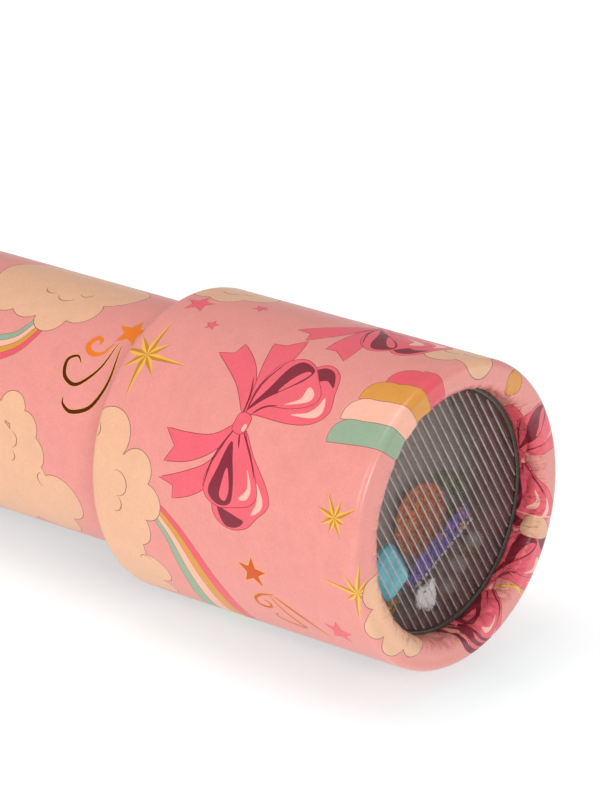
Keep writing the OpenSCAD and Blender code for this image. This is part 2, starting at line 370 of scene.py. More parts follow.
def bow(part=0):
    """A ribbon bow with four tails and four loops; part 1 leaves out the left tails."""
    drawing = []
    for low, notch, high in BOW_TAILS[1:3] if part else BOW_TAILS:
        ribbon = curve(low, False, 4) + [notch] + curve(high, False, 4)
        drawing += outlined(ribbon, "bow", "bow_line")
    for body, inside, shine in BOW_LOOPS:
        drawing += outlined(curve(body), "bow", "bow_line")
        drawing.append((curve(inside, steps=4), "maroon"))
        drawing.append((curve(shine, steps=4), "bow_light"))
    drawing += [(curve(points, steps=4), "bow") for points in BOW_SEEN]
    for points in BOW_CREASES:
        drawing.append((stroke(curve(points, False, 4), 0.12, 0.03, 0.2), "maroon"))
    knot = curve([(-1.1, -1.0), (0.2, -1.5), (1.8, -0.7), (1.6, 1.6), (0.6, 2.7), (-1.4, 2.2),
                  (-1.5, 0.4)])
    drawing += outlined(knot, "bow", "bow_line")
    drawing.append((curve([(0.5, 1.8), (0.9, 0.6), (1.5, 0.9), (1.2, 2.0)], steps=3),
                    "bow_light"))
    return drawing


def scroll(path, ink="foil", line="gold", wide=0.4, edge=0.08):
    """A foil stroke that ends in a curl, with a fine gold edge."""
    points = curve(path, False, 6)
    return [(stroke(points, 0.05 + edge, 0.05 + edge, wide + edge), line),
            (stroke(points, 0.03, 0.05, wide), ink)]


# clouds: round lobes (x, y, radius), then curled lines (x, y, radius, start, end)
CLOUD_SIDE = (
    [(-5.1, -5.6, 8.6), (-3.7, 5.1, 7.1), (-5.9, 14.4, 7.3), (-4.1, -15.9, 5.0),
     (3.4, -10.9, 3.8), (5.9, -5.2, 3.7), (2.0, 0.6, 4.3), (-1.5, 7.5, 3.6), (3.2, 11.0, 3.9),
     (1.0, 17.5, 3.6), (-6.5, 22.0, 5.0), (0, -8, 5)],
    [(-1.2, -7.2, 2.5, -110, 95), (-1.9, -3.2, 1.7, -60, 100), (-8.0, -16.0, 1.6, -60, 60),
     (2.6, 9.0, 1.5, 190, 330)])
CLOUD_TOP = (
    [(6.1, -3.9, 6.4), (5.2, 4.6, 4.0), (0.4, 8.4, 3.7), (-6.1, 6.2, 4.2), (-11.8, 6.4, 3.9),
     (-4.3, -3.6, 9.3), (-0.7, -10.7, 7.1), (-11.5, -2.1, 9.0), (-9, -11, 6), (0, 2, 7)],
    [(-0.9, 1.4, 2.3, 20, 160), (2.0, -0.5, 1.4, -10, 140), (-5.2, 0.6, 1.9, 40, 170)])
CLOUD_LOW = (
    [(-3.6, -10.7, 3.2), (-0.3, -7.3, 3.5), (1.3, -3.0, 3.7), (7.1, 5.8, 5.4),
     (-3.2, 4.3, 8.8), (-10.4, 1.5, 10.5), (-12, 11, 9), (1, 12, 7), (-9, -8, 4)],
    [(-3.6, -4.6, 1.7, -80, 80), (-3.9, -1.3, 1.2, -60, 90), (4.3, 2.2, 1.8, 120, 250)])
CLOUD_SMALL = (
    [(-4.5, 0.5, 3.6), (0, -1.2, 4.4), (4.6, -0.2, 3.5), (1.4, 3.0, 3.4), (-2.6, 3.4, 3.0)],
    [(0.2, 0.6, 1.7, 10, 150), (2.4, -0.8, 1.1, -20, 130)])
LIP_LOBES = [(x, y, 4.1) for x, y in (
    (0.2, 0.4), (-1.2, 7.4), (-0.6, 14.6), (1.4, 20.8), (5.0, 4.0), (5.0, 11.0), (5.4, 18.0))]

# the turn between the print's own top and the row's
PRINT_TURN = 18.35


def placer(drawing, radius):
    """The step that puts a motif on a flat paper, by its distance behind the lip in
    millimetres and its turn from the top in degrees."""
    def put(shapes, back, turn_deg, **how):
        at = radians(turn_deg - PRINT_TURN) * radius
        drawing.extend(turned(shapes, LENGTH - back, at, **how))
    return put


def small_stars(put, rows):
    """Rose stars with a thin line round them: (back, turn from the top, radius, own turn)."""
    for back, at, r, turn in rows:
        put(outlined(star(r), "bow", "bow_line", 0.06), back, at, turn=turn)


def draw_head():
    """The drawing on the head's flat paper: x runs towards the lip, y runs round the head."""
    drawing = []
    put = placer(drawing, HEAD_RADIUS)
    sweep = curve([(-1.4, -2.6), (3.4, 2.4), (6.0, 8.2), (7.4, 16), (6.6, 26)], False, 6)
    put(rainbow(sweep, (0.75, 3.3), ("sage", "pale", "ochre", "rose")), 47.0, 113)
    put(cloud(*CLOUD_SIDE), 56, 118)
    put(cloud(*CLOUD_SMALL), 58.5, 4, size=1.15)
    put(cloud(*CLOUD_SMALL), 6.5, 1, turn=20, size=1.2)
    small_stars(put, ((58.5, 24, 3.1, -8), (47.4, 15, 1.65, 10), (51.1, 34, 1.5, -5),
                      (8.6, 142, 3.2, 10), (30, 196, 2.6, 12), (55, 214, 3.0, -6),
                      (12, 232, 1.7, 0), (38, 306, 2.6, -12), (54, 330, 1.6, 8)))
    put(sparkle((5.2, 3.6, 5.4, 2.6, 4.0, 3.4, 3.6, 4.8), -30), 5.6, 92)
    put(sparkle((6.4, 3.4, 6.6, 3.4, 6.8, 3.6, 8.4, 4.6), 8), 0.4, 118)
    put(sparkle((9.0, 5.2, 10.2, 5.4, 9.4, 5.4, 8.6, 5.4), 0, 1.9), 58.9, 54.8)
    put(bow(), 31.5, 68.2)
    put(bow(), 25, -3, turn=168, size=0.95, flip=-1)
    bands = (("rose", 8.4), ("ochre", 10.8), ("pale", 11.9), ("sage", 12.4))
    for k, (ink, back) in enumerate(bands):
        top = -11.4 + 4.85 * k
        low = top + 4.85
        band = curve([(-back + 5.6, top - 0.5), (-back + 2.6, top - 0.2), (-back + 0.6, top + 1.3),
                      (-back, top + 3.2), (-back + 0.2, low + 0.2)], False, 4)
        band += curve([(-4, low - 0.9), (2, low - 1.2), (6.8, low - 1.2)], False, 3)
        band += curve([(6.8, top - 1.2), (2, top - 1.2), (-4, top - 0.9)], False, 3)
        put(outlined(band, ink, "cloud_line", 0.06), 0, 51)
    put([(grow(star(3.4), 0.2), "gold"), (star(3.4), "rust")], 25.4, 123.2, turn=6)
    for path in (((1.2, 0.3), (-0.7, 0.9), (-2.3, 1.4), (-4.2, 3.0), (-4.0, 4.6), (-2.4, 4.9),
                  (-0.9, 4.2), (-1.0, 3.1), (-2.2, 2.8)),
                 ((0.0, 0.7), (1.4, 3.5), (3.7, 6.7), (5.0, 8.5), (2.9, 8.7), (0.4, 8.1),
                  (-1.2, 7.0), (-0.2, 6.2)),
                 ((1.1, 0.7), (3.9, 2.7), (7.5, 5.7), (10.8, 9.5))):
        put(scroll(path, "rust", "ochre", 0.32, 0.15), 23.0, 131)
    put(cloud(LIP_LOBES), -4.2, 121)
    # what is printed on the paper where it turns in at the far side of the lip
    put(bow(), -8.4, 296, turn=186, size=0.86)
    put(bow(), -8.6, 234, turn=172, size=0.86)
    for wide, y in ((0.7, 0.0), (0.5, 2.6), (0.34, 4.4)):
        stripe = curve([(9.5, y - 3.4), (5.0, y - 1.0), (1.2, y + 0.4), (-2.4, y + 3.4),
                        (-3.6, y + 7.6)], False, 5)
        put([(stroke(stripe, wide * 0.4, 0.1, wide), "maroon")], -3.0, 197)
    put(outlined(disc(0, 0, 2.5), "ochre", "cloud_line"), -2.1, 340)
    patch = curve([(-2.6, 0.2), (-1.6, -2.0), (4.4, -2.2), (4.4, 2.6), (0.4, 3.0)])
    put(turned(outlined(patch, "cloud", "cloud_line"), size=0.85), -2.6, 263.5)
    overlap = [(8.4, 0.0), (4.0, -0.1), (-1.0, 0.0), (-3.2, 0.1)]
    put([(stroke(overlap, 0.14, 0.1, 0.16), "pale")], 0.0, 269)
    put(scroll(((6.4, -2.0), (3.4, 0.4), (0.4, 0.2)), "gold", "gold_shade", 0.3), 0.0, 236)
    # the far side of the head
    put(bow(), 34, 262, turn=-20, size=0.95)
    put(cloud(*CLOUD_SMALL), 50, 190, size=1.3)
    put(cloud(*CLOUD_SMALL), 52, 300, size=1.2, flip=-1)
    put(sparkle((8, 4.2, 7.4, 4.2, 8, 4.0, 7.4, 4.4), 12), 30, 222)
    put(sparkle((6, 3.2, 6.6, 3.2, 6, 3.0, 6.4, 3.4), -10), 18, 328)
    put([(grow(star(2.9), 0.2), "gold"), (star(2.9), "copper")], 55, 240, turn=-12)
    return drawing


def draw_tube():
    """The drawing on the main tube's flat paper, which repeats along the tube."""
    drawing = []
    put = placer(drawing, TUBE_RADIUS)
    sweep = curve([(1.2, -2.0), (-1.6, 4.4), (-8.5, 7.6), (-18, 8.5)], False, 6)
    bands = ("sage", "pale", "ochre", "rose")
    for back, at in ((0, 0), (62, 176), (70, -30)):
        put(rainbow(sweep, (0.9, 1.75), bands), 91.8 + back, 49.5 + at)
        put(cloud(*CLOUD_TOP), 90.3 + back, 23 + at)
        put(cloud(*CLOUD_LOW), 85.6 + back, 115.8 + at)
        put([(grow(star(3.6), 0.12), "gold_shade"), (star(3.6), "copper")], 70.6 + back, 39.5 + at,
            turn=-4)
        for path in (((0.9, -9.5), (0.5, -3.5), (-3.1, 0.9), (-6.6, 0.1), (-7.8, -3.0),
                      (-6.0, -4.4), (-4.4, -3.2)),
                     ((1.9, -9.0), (3.7, -1.6), (1.9, 4.0), (-2.4, 6.1), (-4.9, 5.2),
                      (-5.3, 3.9))):
            put(scroll(path), 72.3 + back, 69.5 + at)
        curl = ((0.0, -8.9), (-0.9, -6.3), (-3.3, -5.6), (-5.1, -7.0), (-4.4, -9.0),
                (-2.9, -8.8), (-3.0, -7.8))
        put(scroll(curl, "copper", "gold_shade", 0.5), 72.3 + back, 69.5 + at)
    put(bow(), 76, 214, turn=24, size=0.92)
    put(bow(), 128, 92, turn=-150, size=0.92)
    put(bow(), 112, 236, turn=40, size=0.85)
    put(cloud(*CLOUD_SMALL), 94, 306, size=1.5)
    small_stars(put, ((112, 334, 2.6, -6), (60, 288, 3.0, -12), (112, 132, 2.0, -8),
                      (128, 352, 2.4, 12), (60, 170, 1.8, -10), (96, 262, 1.7, 2),
                      (122, 306, 2.4, 6), (122, 20, 1.6, 0)))
    put(sparkle((8, 4.2, 7.4, 4.2, 8, 4.0, 7.4, 4.4), 12), 58, 318)
    put(sparkle((7, 3.6, 7.4, 3.6, 7, 3.4, 7.4, 3.8), -8), 140, 148)
    return drawing


# ---- the path that a paper follows in the tube's own section ----

class Path:
    """A paper's section: straight and round runs of (station along the axis, radius)."""

    def __init__(self, start, runs, origin):
        self.runs = []
        at, a = start, 0.0
        for kind, *rest in runs:
            if kind == "line":
                end = rest[0]
                long = hypot(end[0] - at[0], end[1] - at[1])
                self.runs.append((a, long, "line", at, end))
                at = end
            else:
                centre, start_deg, end_deg, r = rest
                long = r * radians(abs(end_deg - start_deg))
                self.runs.append((a, long, "arc", centre, (start_deg, end_deg, r)))
                at = (centre[0] + r * cos(radians(end_deg)), centre[1] + r * sin(radians(end_deg)))
            a += long
        self.shift = origin
        self.low = origin
        self.high = origin + a

    def at(self, a):
        """(station, radius, outward normal's two parts) at a length along the section."""
        s = min(max(a - self.shift, 0), self.high - self.low)
        for begin, long, kind, one, two in self.runs:
            if s <= begin + long + 1e-9:
                t = (s - begin) / long
                if kind == "line":
                    dx, dy = (two[0] - one[0]) / long, (two[1] - one[1]) / long
                    return (one[0] + dx * (s - begin), one[1] + dy * (s - begin), -dy, dx)
                start_deg, end_deg, r = two
                g = radians(start_deg + (end_deg - start_deg) * t)
                return one[0] + r * cos(g), one[1] + r * sin(g), cos(g), sin(g)
        return self.at(self.high - 1e-6)


ROUND_RUN = END_ROUND * pi / 2
REAR_BORE = 23.9
REAR_TURN_IN = 5.0
FACE_RADIUS = HEAD_RADIUS - END_ROUND
REAR_STRAIGHT = HEAD_REAR + END_ROUND
FRONT_STRAIGHT = LENGTH - END_ROUND
LIP_RADIUS = MOUTH_RADIUS + LIP_ROUND
HEAD_PATH = Path(
    (HEAD_REAR + REAR_TURN_IN, REAR_BORE),
    (("line", (HEAD_REAR, REAR_BORE)), ("line", (HEAD_REAR, FACE_RADIUS)),
     ("arc", (REAR_STRAIGHT, FACE_RADIUS), 180, 90, END_ROUND),
     ("line", (FRONT_STRAIGHT, HEAD_RADIUS)),
     ("arc", (FRONT_STRAIGHT, FACE_RADIUS), 90, 0, END_ROUND),
     ("line", (LENGTH, LIP_RADIUS)),
     ("arc", (LENGTH - LIP_ROUND, LIP_RADIUS), 0, -90, LIP_ROUND),
     ("line", (WINDOW_FRONT + 0.2, MOUTH_RADIUS))),
    REAR_STRAIGHT - ROUND_RUN - (FACE_RADIUS - REAR_BORE) - REAR_TURN_IN)
EYE_RUN = EYE_ROUND * pi / 2
EYE_EDGE = TUBE_RADIUS - EYE_ROUND
EYE_TURN_IN = 5.0
TUBE_PAPER_END = 143.05
TUBE_PATH = Path(
    (0.0, EYE_EDGE - EYE_TURN_IN),
    (("line", (0.0, EYE_EDGE)), ("arc", (EYE_ROUND, EYE_EDGE), 180, 90, EYE_ROUND),
     ("line", (TUBE_PAPER_END, TUBE_RADIUS))),
    EYE_ROUND - EYE_RUN - EYE_TURN_IN)


# how near to an end of its path a sheet's open edge is looked for
RIM_REACH = 1.5
# rows of faces in the hidden back of a sheet
BACK_ROWS = 40
# two points of a flat drawing that are nearer than this are one
SAME_SPOT = 1e-4


def close_set(points, most=0.7):
    """The closed outline with points added where two are further apart than most, so that it
    follows the round of the tube."""
    out = []
    for i, (x, y) in enumerate(points):
        bx, by = points[(i + 1) % len(points)]
        parts = max(1, ceil(hypot(bx - x, by - y) / most))
        out += [(x + (bx - x) * k / parts, y + (by - y) * k / parts) for k in range(parts)]
    return out


def lay_paper(name, path, radius, drawing, rows, round_step, shape):
    """One closed sheet of printed paper: the flat drawing divided into faces, bent along the
    path and round the tube, and given its thickness. shape(a, turn) is the height of pleats."""
    girth = tau * radius
    half = girth / 2
    low, high = path.low, path.high
    spots, edges = [], []

    def chain(points, closed=True):
        first = len(spots)
        spots.extend(points)
        n = len(points)
        edges.extend((first + i, first + (i + 1) % n) for i in range(n if closed else n - 1))

    kept = []
    for points, ink in drawing:
        for shift in (-girth, 0, girth):
            moved = close_set([(x, y + shift) for x, y in points])
            ys = [p[1] for p in moved]
            if min(ys) < half and max(ys) > -half:
                kept.append((moved, ink))
                chain(moved)
    across = round(360 / round_step)
    ring = [-half + girth * i / across for i in range(across + 1)]
    chain([(low, y) for y in ring] + [(high, y) for y in ring[::-1]])
    spots.extend((a, y) for a in rows for y in ring[1:-1])
    for y in (ring[0], ring[-1]):
        chain([(a, y) for a in [low] + list(rows) + [high]], False)
    points, _, faces, _, _, _ = delaunay_2d_cdt([Vector(p) for p in spots], edges, [], 0,
                                                SAME_SPOT, True)
    flat = np.array([(p.x, p.y) for p in points])
    on_sheet = ((flat[:, 0] >= low - SAME_SPOT) & (flat[:, 0] <= high + SAME_SPOT)
                & (flat[:, 1] >= -half - SAME_SPOT) & (flat[:, 1] <= half + SAME_SPOT))
    faces = [f for f in faces if all(on_sheet[i] for i in f)]
    middles = np.array([flat[list(f)].mean(0) for f in faces])
    inks = ink_of(middles, kept)

    mesh = bmesh.new()
    thickness = SETTINGS["paper"].thickness
    uv = mesh.loops.layers.uv.new("flat")
    ink_layer = mesh.faces.layers.float_color.new("ink")
    foil_layer = mesh.faces.layers.float.new("foil")
    colours = {ink: tuple(getattr(SETTINGS["print"], ink)) + (1.0,) for ink in INKS}

    def bent(a, y, inward=0.0):
        station, r, nu, nr = path.at(a)
        turn = y / radius
        lift = shape(a, turn) - inward
        station += nu * lift
        r += nr * lift
        return LIE @ Vector((-r * sin(turn), r * cos(turn), station))

    verts = [mesh.verts.new(bent(*p)) for p in flat]
    scale = max(high - low, girth)
    for f, ink in zip(faces, inks):
        try:
            face = mesh.faces.new([verts[i] for i in f])
        except ValueError:
            continue
        face.smooth = True
        face[ink_layer] = colours[ink]
        face[foil_layer] = FOIL_INKS.get(ink, 0.0)
        for loop, i in zip(face.loops, f):
            loop[uv].uv = ((flat[i][0] - low) / scale, (flat[i][1] + half) / scale)
    bmesh.ops.remove_doubles(mesh, verts=mesh.verts, dist=2e-6)
    face_out(mesh)

    def rim(a):
        """The open edges near one end of the path."""
        station, r = path.at(a)[:2]
        found = []
        for e in mesh.edges:
            if e.is_boundary:
                offset = (e.verts[0].co - EYE_END) / MM
                along = offset.dot(AXIS)
                away = (offset - AXIS * along).length
                if abs(along - station) < RIM_REACH and abs(away - r) < RIM_REACH:
                    found.append(e)
        return found

    # the hidden back of the paper, from the lip's rim to the other rim
    edge_loop = rim(high)
    back = rim(low)
    for k in range(BACK_ROWS + 1):
        a = high + (low - high) * k / BACK_ROWS
        made = bmesh.ops.extrude_edge_only(mesh, edges=edge_loop)
        for v in new_verts(made):
            offset = v.co - EYE_END
            turn = atan2(-offset.dot(ACROSS), offset.dot(RISE))
            v.co = bent(a, turn * radius, thickness)
        edge_loop = [e for e in made["geom"] if isinstance(e, bmesh.types.BMEdge)]
    bmesh.ops.bridge_loops(mesh, edges=edge_loop + back)
    for f in mesh.faces:
        if f[ink_layer][3] == 0:
            f[ink_layer] = colours["paper"]
            f.smooth = True
    bmesh.ops.triangulate(mesh, faces=[f for f in mesh.faces if len(f.verts) > 4])
    face_out(mesh)
    return finish_mesh(mesh, name, placed=True)


def ink_of(middles, kept):
    """The topmost ink at each point: an even-odd test against every outline in turn."""
    inks = np.zeros(len(middles), int)
    names = ["paper"]
    order = {"paper": 0}
    x, y = middles[:, 0], middles[:, 1]
    for points, ink in kept:
        if ink not in order:
            order[ink] = len(names)
            names.append(ink)
        p = np.array(points)
        near = np.nonzero((x >= p[:, 0].min()) & (x <= p[:, 0].max())
                          & (y >= p[:, 1].min()) & (y <= p[:, 1].max()))[0]
        if not len(near):
            continue
        px, py = x[near], y[near]
        crossings = np.zeros(len(near), int)
        for i in range(len(p)):
            (ax, ay), (bx, by) = p[i - 1], p[i]
            span = (ay > py) != (by > py)
            if not span.any():
                continue
            cut = ax + (py - ay) * (bx - ax) / ((by - ay) or 1e-12)
            sign = 1 if by > ay else -1
            crossings += np.where(span & (px < cut), sign, 0)
        inks[near[crossings != 0]] = order[ink]
    return [names[i] for i in inks]


def finish_mesh(mesh, name, placed=False):
    """The finished piece: laid along the tube's axis unless it is already in place."""
    if not placed:
        bmesh.ops.transform(mesh, matrix=LIE, verts=mesh.verts)
    data = bpy.data.meshes.new(name)
    mesh.to_mesh(data)
    mesh.free()
    piece = bpy.data.objects.new(name, data)
    bpy.context.scene.collection.objects.link(piece)
    return piece


SETTINGS = {}


def gather_settings():
    """The scene's property groups, each under the last word of its name."""
    for name in GROUPS:
        SETTINGS[name.split("_")[1]] = getattr(bpy.context.scene, name)


# ---- small steps that many pieces share ----

def new_verts(made):
    return [v for v in made["geom"] if isinstance(v, bmesh.types.BMVert)]


def smooth(mesh):
    for f in mesh.faces:
        f.smooth = True


def face_out(mesh):
    bmesh.ops.recalc_face_normals(mesh, faces=mesh.faces)


def top_of(mesh):
    return max(mesh.faces, key=lambda f: f.calc_center_median().z)


def spin_by(degrees, axis="Z"):
    return Matrix.Rotation(radians(degrees), 4, axis)


def move(mesh, verts, to, turn=None):
    """Vertices turned about the mesh's own middle, then moved."""
    if turn:
        bmesh.ops.rotate(mesh, cent=(0, 0, 0), matrix=turn, verts=verts)
    bmesh.ops.translate(mesh, vec=to, verts=verts)


def bevel(mesh, edges, offset, segments=2):
    bmesh.ops.bevel(mesh, geom=edges, offset=offset, segments=segments, profile=0.5,
                    affect="EDGES", material=-1)


def thicken(mesh, faces, by):
    """Faces drawn out along the axis into a solid; the moved vertices."""
    made = new_verts(bmesh.ops.extrude_face_region(mesh, geom=faces))
    move(mesh, made, (0, 0, by))
    return made


def round_plate(radius, sides, station, thick, edge):
    """A disc with a small bevel round both faces."""
    mesh = bmesh.new()
    bmesh.ops.create_circle(mesh, cap_ends=True, segments=sides, radius=radius)
    move(mesh, mesh.verts, (0, 0, station))
    thicken(mesh, mesh.faces[:], thick)
    bevel(mesh, [e for e in mesh.edges if abs(e.calc_face_angle(0)) > 0.5], edge)
    return mesh


def block(mesh, size, at):
    """A box of the given size about a point; its vertices."""
    made = bmesh.ops.create_cube(mesh, size=1.0)["verts"]
    bmesh.ops.scale(mesh, vec=size, verts=made)
    move(mesh, made, at)
    return made


def turned_ring(half_wide, half_high, middle, station, sides, steps):
    """A ring of oval section, its section turned a full round about the axis."""
    mesh = bmesh.new()
    made = bmesh.ops.create_circle(mesh, segments=sides, radius=1.0)["verts"]
    bmesh.ops.scale(mesh, vec=(half_wide, half_high, 1), verts=made)
    move(mesh, made, (middle, 0, station), spin_by(90, "X"))
    bmesh.ops.spin(mesh, geom=mesh.edges[:] + mesh.verts[:], cent=(0, 0, 0), axis=(0, 0, 1),
                   angle=tau, steps=steps, use_merge=True, use_duplicate=False)
    bmesh.ops.remove_doubles(mesh, verts=mesh.verts, dist=1e-4)
    face_out(mesh)
    smooth(mesh)
    return mesh


# ---- materials ----

class Nodes:
    """Short names for adding and joining the nodes of one material."""

    def __init__(self, name):
        self.material = bpy.data.materials.new(name)
        self.material.use_nodes = True
        self.tree = self.material.node_tree
        self.shader = self.tree.nodes["Principled BSDF"]
        self.place = self.add("ShaderNodeTexCoord").outputs["Object"]

    def add(self, kind, **values):
        node = self.tree.nodes.new(kind)
        for key, value in values.items():
            if hasattr(node, key):
                setattr(node, key, value)
            else:
                node.inputs[key.replace("_", " ")].default_value = value
        return node

    def set(self, **values):
        for key, value in values.items():
            self.shader.inputs[key.replace("_", " ")].default_value = value

    def join(self, out, to):
        """A link to a socket, or to the shader's input of that name."""
        self.tree.links.new(out, self.shader.inputs[to] if isinstance(to, str) else to)

    def fill(self, socket, value):
        """Gives a socket a number, a colour or another node's output."""
        if isinstance(value, (int, float)):
            socket.default_value = value
        elif isinstance(value, tuple):
            socket.default_value = value + (1.0,) if len(value) == 3 else value
        else:
            self.join(value, socket)

    def noise(self, scale, detail=3.0, rough=0.55, stretch=None, place=None):
        node = self.add("ShaderNodeTexNoise", Scale=scale, Detail=detail, Roughness=rough)
        place = place or self.place
        if stretch:
            mapping = self.add("ShaderNodeMapping", Scale=stretch)
            self.join(place, mapping.inputs["Vector"])
            place = mapping.outputs["Vector"]
        self.join(place, node.inputs["Vector"])
        return node.outputs["Fac"]

    def cells(self, scale, out="Distance"):
        node = self.add("ShaderNodeTexVoronoi", feature="F1", Scale=scale)
        self.join(self.place, node.inputs["Vector"])
        return node.outputs[out]

    def ramp(self, value, *stops):
        node = self.add("ShaderNodeValToRGB")
        ramp = node.color_ramp
        while len(ramp.elements) < len(stops):
            ramp.elements.new(0.5)
        for element, (at, colour) in zip(ramp.elements, stops):
            element.position = at
            element.color = tuple(colour) + (1.0,)
        self.join(value, node.inputs["Fac"])
        return node.outputs["Color"]

    def span(self, value, low, high, start=0.0, end=1.0):
        node = self.add("ShaderNodeMapRange")
        for key, number in (("From Min", start), ("From Max", end), ("To Min", low),
                            ("To Max", high)):
            node.inputs[key].default_value = number
        self.join(value, node.inputs["Value"])
        return node.outputs["Result"]

    def math(self, operation, one, two=None):
        node = self.add("ShaderNodeMath", operation=operation)
        self.fill(node.inputs[0], one)
        if two is not None:
            self.fill(node.inputs[1], two)
        return node.outputs[0]

    def away(self, value, middle=0.5):
        """How far a value is from the middle of its range."""
        return self.math("ABSOLUTE", self.math("SUBTRACT", value, middle))

    def blend(self, fac, one, two, mode="MIX"):
        node = self.add("ShaderNodeMix", data_type="RGBA", blend_type=mode)
        for socket, value in zip(("Factor", 6, 7), (fac, one, two)):
            self.fill(node.inputs[socket], value)
        return node.outputs[2]

    def apart(self, kind, out, socket):
        """The node that takes a vector or a colour apart, for its outputs."""
        node = self.add(kind)
        self.join(out, node.inputs[socket])
        return node.outputs

    def bump(self, height, strength, distance):
        node = self.add("ShaderNodeBump", Strength=strength, Distance=distance)
        self.join(height, node.inputs["Height"])
        self.join(node.outputs["Normal"], "Normal")

    def colour(self, out):
        self.join(out, "Base Color")

    def tint(self, value, *stops):
        self.colour(self.ramp(value, *stops))

    def rough(self, value, *span):
        self.join(self.span(value, *span), "Roughness")


def shade(colour, by):
    """A colour made lighter or darker."""
    return tuple(min(1.0, max(0.0, c * by)) for c in colour)


def mottled(name, colour, look, stops, rough, bump, alpha=None, **values):
    """A finish whose tint, roughness and relief all follow one pattern. A stop is a place in
    the pattern and how light the colour is there."""
    m = Nodes(name)
    pattern = m.noise(*look)
    m.tint(pattern, *((at, shade(colour, by)) for at, by in stops))
    m.rough(pattern, *rough)
    if alpha:
        m.join(m.span(pattern, *alpha), "Alpha")
    m.set(**values)
    m.bump(pattern, *bump)
    return m.material


def printed_paper(name, creased=None):
    """Satin art paper: the printed ink with a fine mottle, and foil where the ink is foil.
    creased holds the places in the flat paper's own map between which it gets glossier, where
    it is rolled over the lip, and those between which the wrinkles set in. There the creases
    are also painted darker: painted shade in the creases."""
    m = Nodes(name)
    ink = m.add("ShaderNodeAttribute", attribute_name="ink")
    foil = m.add("ShaderNodeAttribute", attribute_name="foil")
    grain = m.noise(2600, 2.0, 0.6)
    mottle = m.noise(260, 4.0, 0.65)
    light = m.span(m.math("ADD", m.math("MULTIPLY", grain, 0.6), m.math("MULTIPLY", mottle, 0.5)),
                   0.92, 1.07, 0.35, 0.75)
    grey = m.add("ShaderNodeCombineColor")
    for channel in ("Red", "Green", "Blue"):
        m.join(light, grey.inputs[channel])
    printed = m.blend(1.0, ink.outputs["Color"], grey.outputs["Color"], "MULTIPLY")
    fine = m.math("ADD", m.math("MULTIPLY", grain, 0.35), m.noise(900))
    if creased:
        flat = m.add("ShaderNodeTexCoord").outputs["UV"]
        along = m.apart("ShaderNodeSeparateXYZ", flat, "Vector")["X"]
        inside = m.span(along, 0.0, 1.0, *creased[2:])
        burnish = m.span(along, 0.12, 0.65, *creased[:2])
        burnish = m.math("SUBTRACT", burnish, m.math("MULTIPLY", inside, 0.5))
        m.join(burnish, "Coat Weight")
        # masks of the fine and the deep creases, for the painted crease shade and for the bump
        ridge = m.away(m.noise(1.0, 4.0, 0.6, (55, 210, 1), flat))
        line = m.math("MULTIPLY", m.span(ridge, 1.0, 0.0, 0.0, 0.03), inside)
        deep = m.away(m.noise(1.0, 3.0, 0.5, (26, 70, 1), flat))
        dark = m.math("MULTIPLY", m.span(deep, 1.0, 0.0, 0.0, 0.016), inside)
        # painted shade: the fine crease lines and the deep creases are darkened in the colour
        printed = m.blend(m.math("MULTIPLY", line, 0.38), printed, linear(170, 60, 62))
        printed = m.blend(m.math("MULTIPLY", dark, 0.62), printed, linear(96, 22, 26))
        ditch = m.math("MULTIPLY", m.math("ADD", line, m.math("MULTIPLY", dark, 1.5)), -1.6)
        fine = m.math("ADD", fine, ditch)
    m.colour(printed)
    m.join(foil.outputs["Fac"], "Metallic")
    satin = m.span(mottle, 0.36, 0.48, 0.3, 0.7)
    m.join(m.math("SUBTRACT", satin, m.math("MULTIPLY", foil.outputs["Fac"], 0.12)), "Roughness")
    m.set(Specular_IOR_Level=0.28, Coat_Weight=0.12, Coat_Roughness=0.2)
    m.bump(fine, 0.16, 0.00012)
    return m.material


def card(name, colour, fleck=0.12):
    """Grey-brown card: wound layers, short fibres and darker flecks."""
    m = Nodes(name)
    fibre = m.noise(900, 5.0, 0.7, (0.35, 1.0, 1.0))
    broad = m.noise(90)
    base = m.ramp(fibre, (0.25, shade(colour, 0.82)), (0.55, colour), (0.85, shade(colour, 1.15)))
    spotted = m.blend(m.span(m.cells(700), fleck, 0.0, 0.0, 0.22), base, shade(colour, 0.45))
    m.colour(m.blend(m.span(broad, 0.0, 0.25, 0.3, 0.7), spotted, shade(colour, 0.75)))
    m.rough(fibre, 0.78, 0.95)
    m.bump(fibre, 0.35, 0.00015)
    return m.material


def smoky_plastic(name, colour, pale):
    """The chamber's wall: glossy, grey towards the rear window and red-brown in front, with
    streaks round the axis whose light and dark bands are partly its own texture and partly
    painted reflections of the ribs, and small coloured painted glints."""
    m = Nodes(name)
    along = m.add("ShaderNodeVectorMath", operation="DOT_PRODUCT")
    m.join(m.place, along.inputs[0])
    along.inputs[1].default_value = AXIS
    turning = [EYE_END.dot(AXIS) + mm * MM for mm in (153.8, 157.5)]
    forward = m.span(along.outputs["Value"], 0.0, 1.0, *turning)
    streak = m.noise(420, 4.0, 0.6, (1.0, 1.0, 0.12))
    # the streaks' bands in the colour: partly the wall's texture, partly painted reflections of
    # the ribs
    front = m.ramp(streak, (0.34, shade(colour, 0.45)), (0.5, colour),
                   (0.62, shade(colour, 1.3)), (0.72, linear(150, 96, 84)))
    rear = m.ramp(streak, (0.34, shade(pale, 0.8)), (0.7, shade(pale, 1.1)))
    base = m.blend(forward, rear, front)
    # painted glints: small coloured spots in the colour that stand for reflections
    painted_glint_spots = m.cells(300)
    painted_glint_colour = m.blend(0.6, m.cells(300, "Color"), linear(176, 160, 90))
    m.colour(m.blend(m.span(painted_glint_spots, 0.6, 0.0, 0.03, 0.1), base, painted_glint_colour))
    m.rough(streak, 0.3, 0.42)
    m.set(Specular_IOR_Level=0.7)
    m.bump(streak, 0.1, 0.0002)
    return m.material


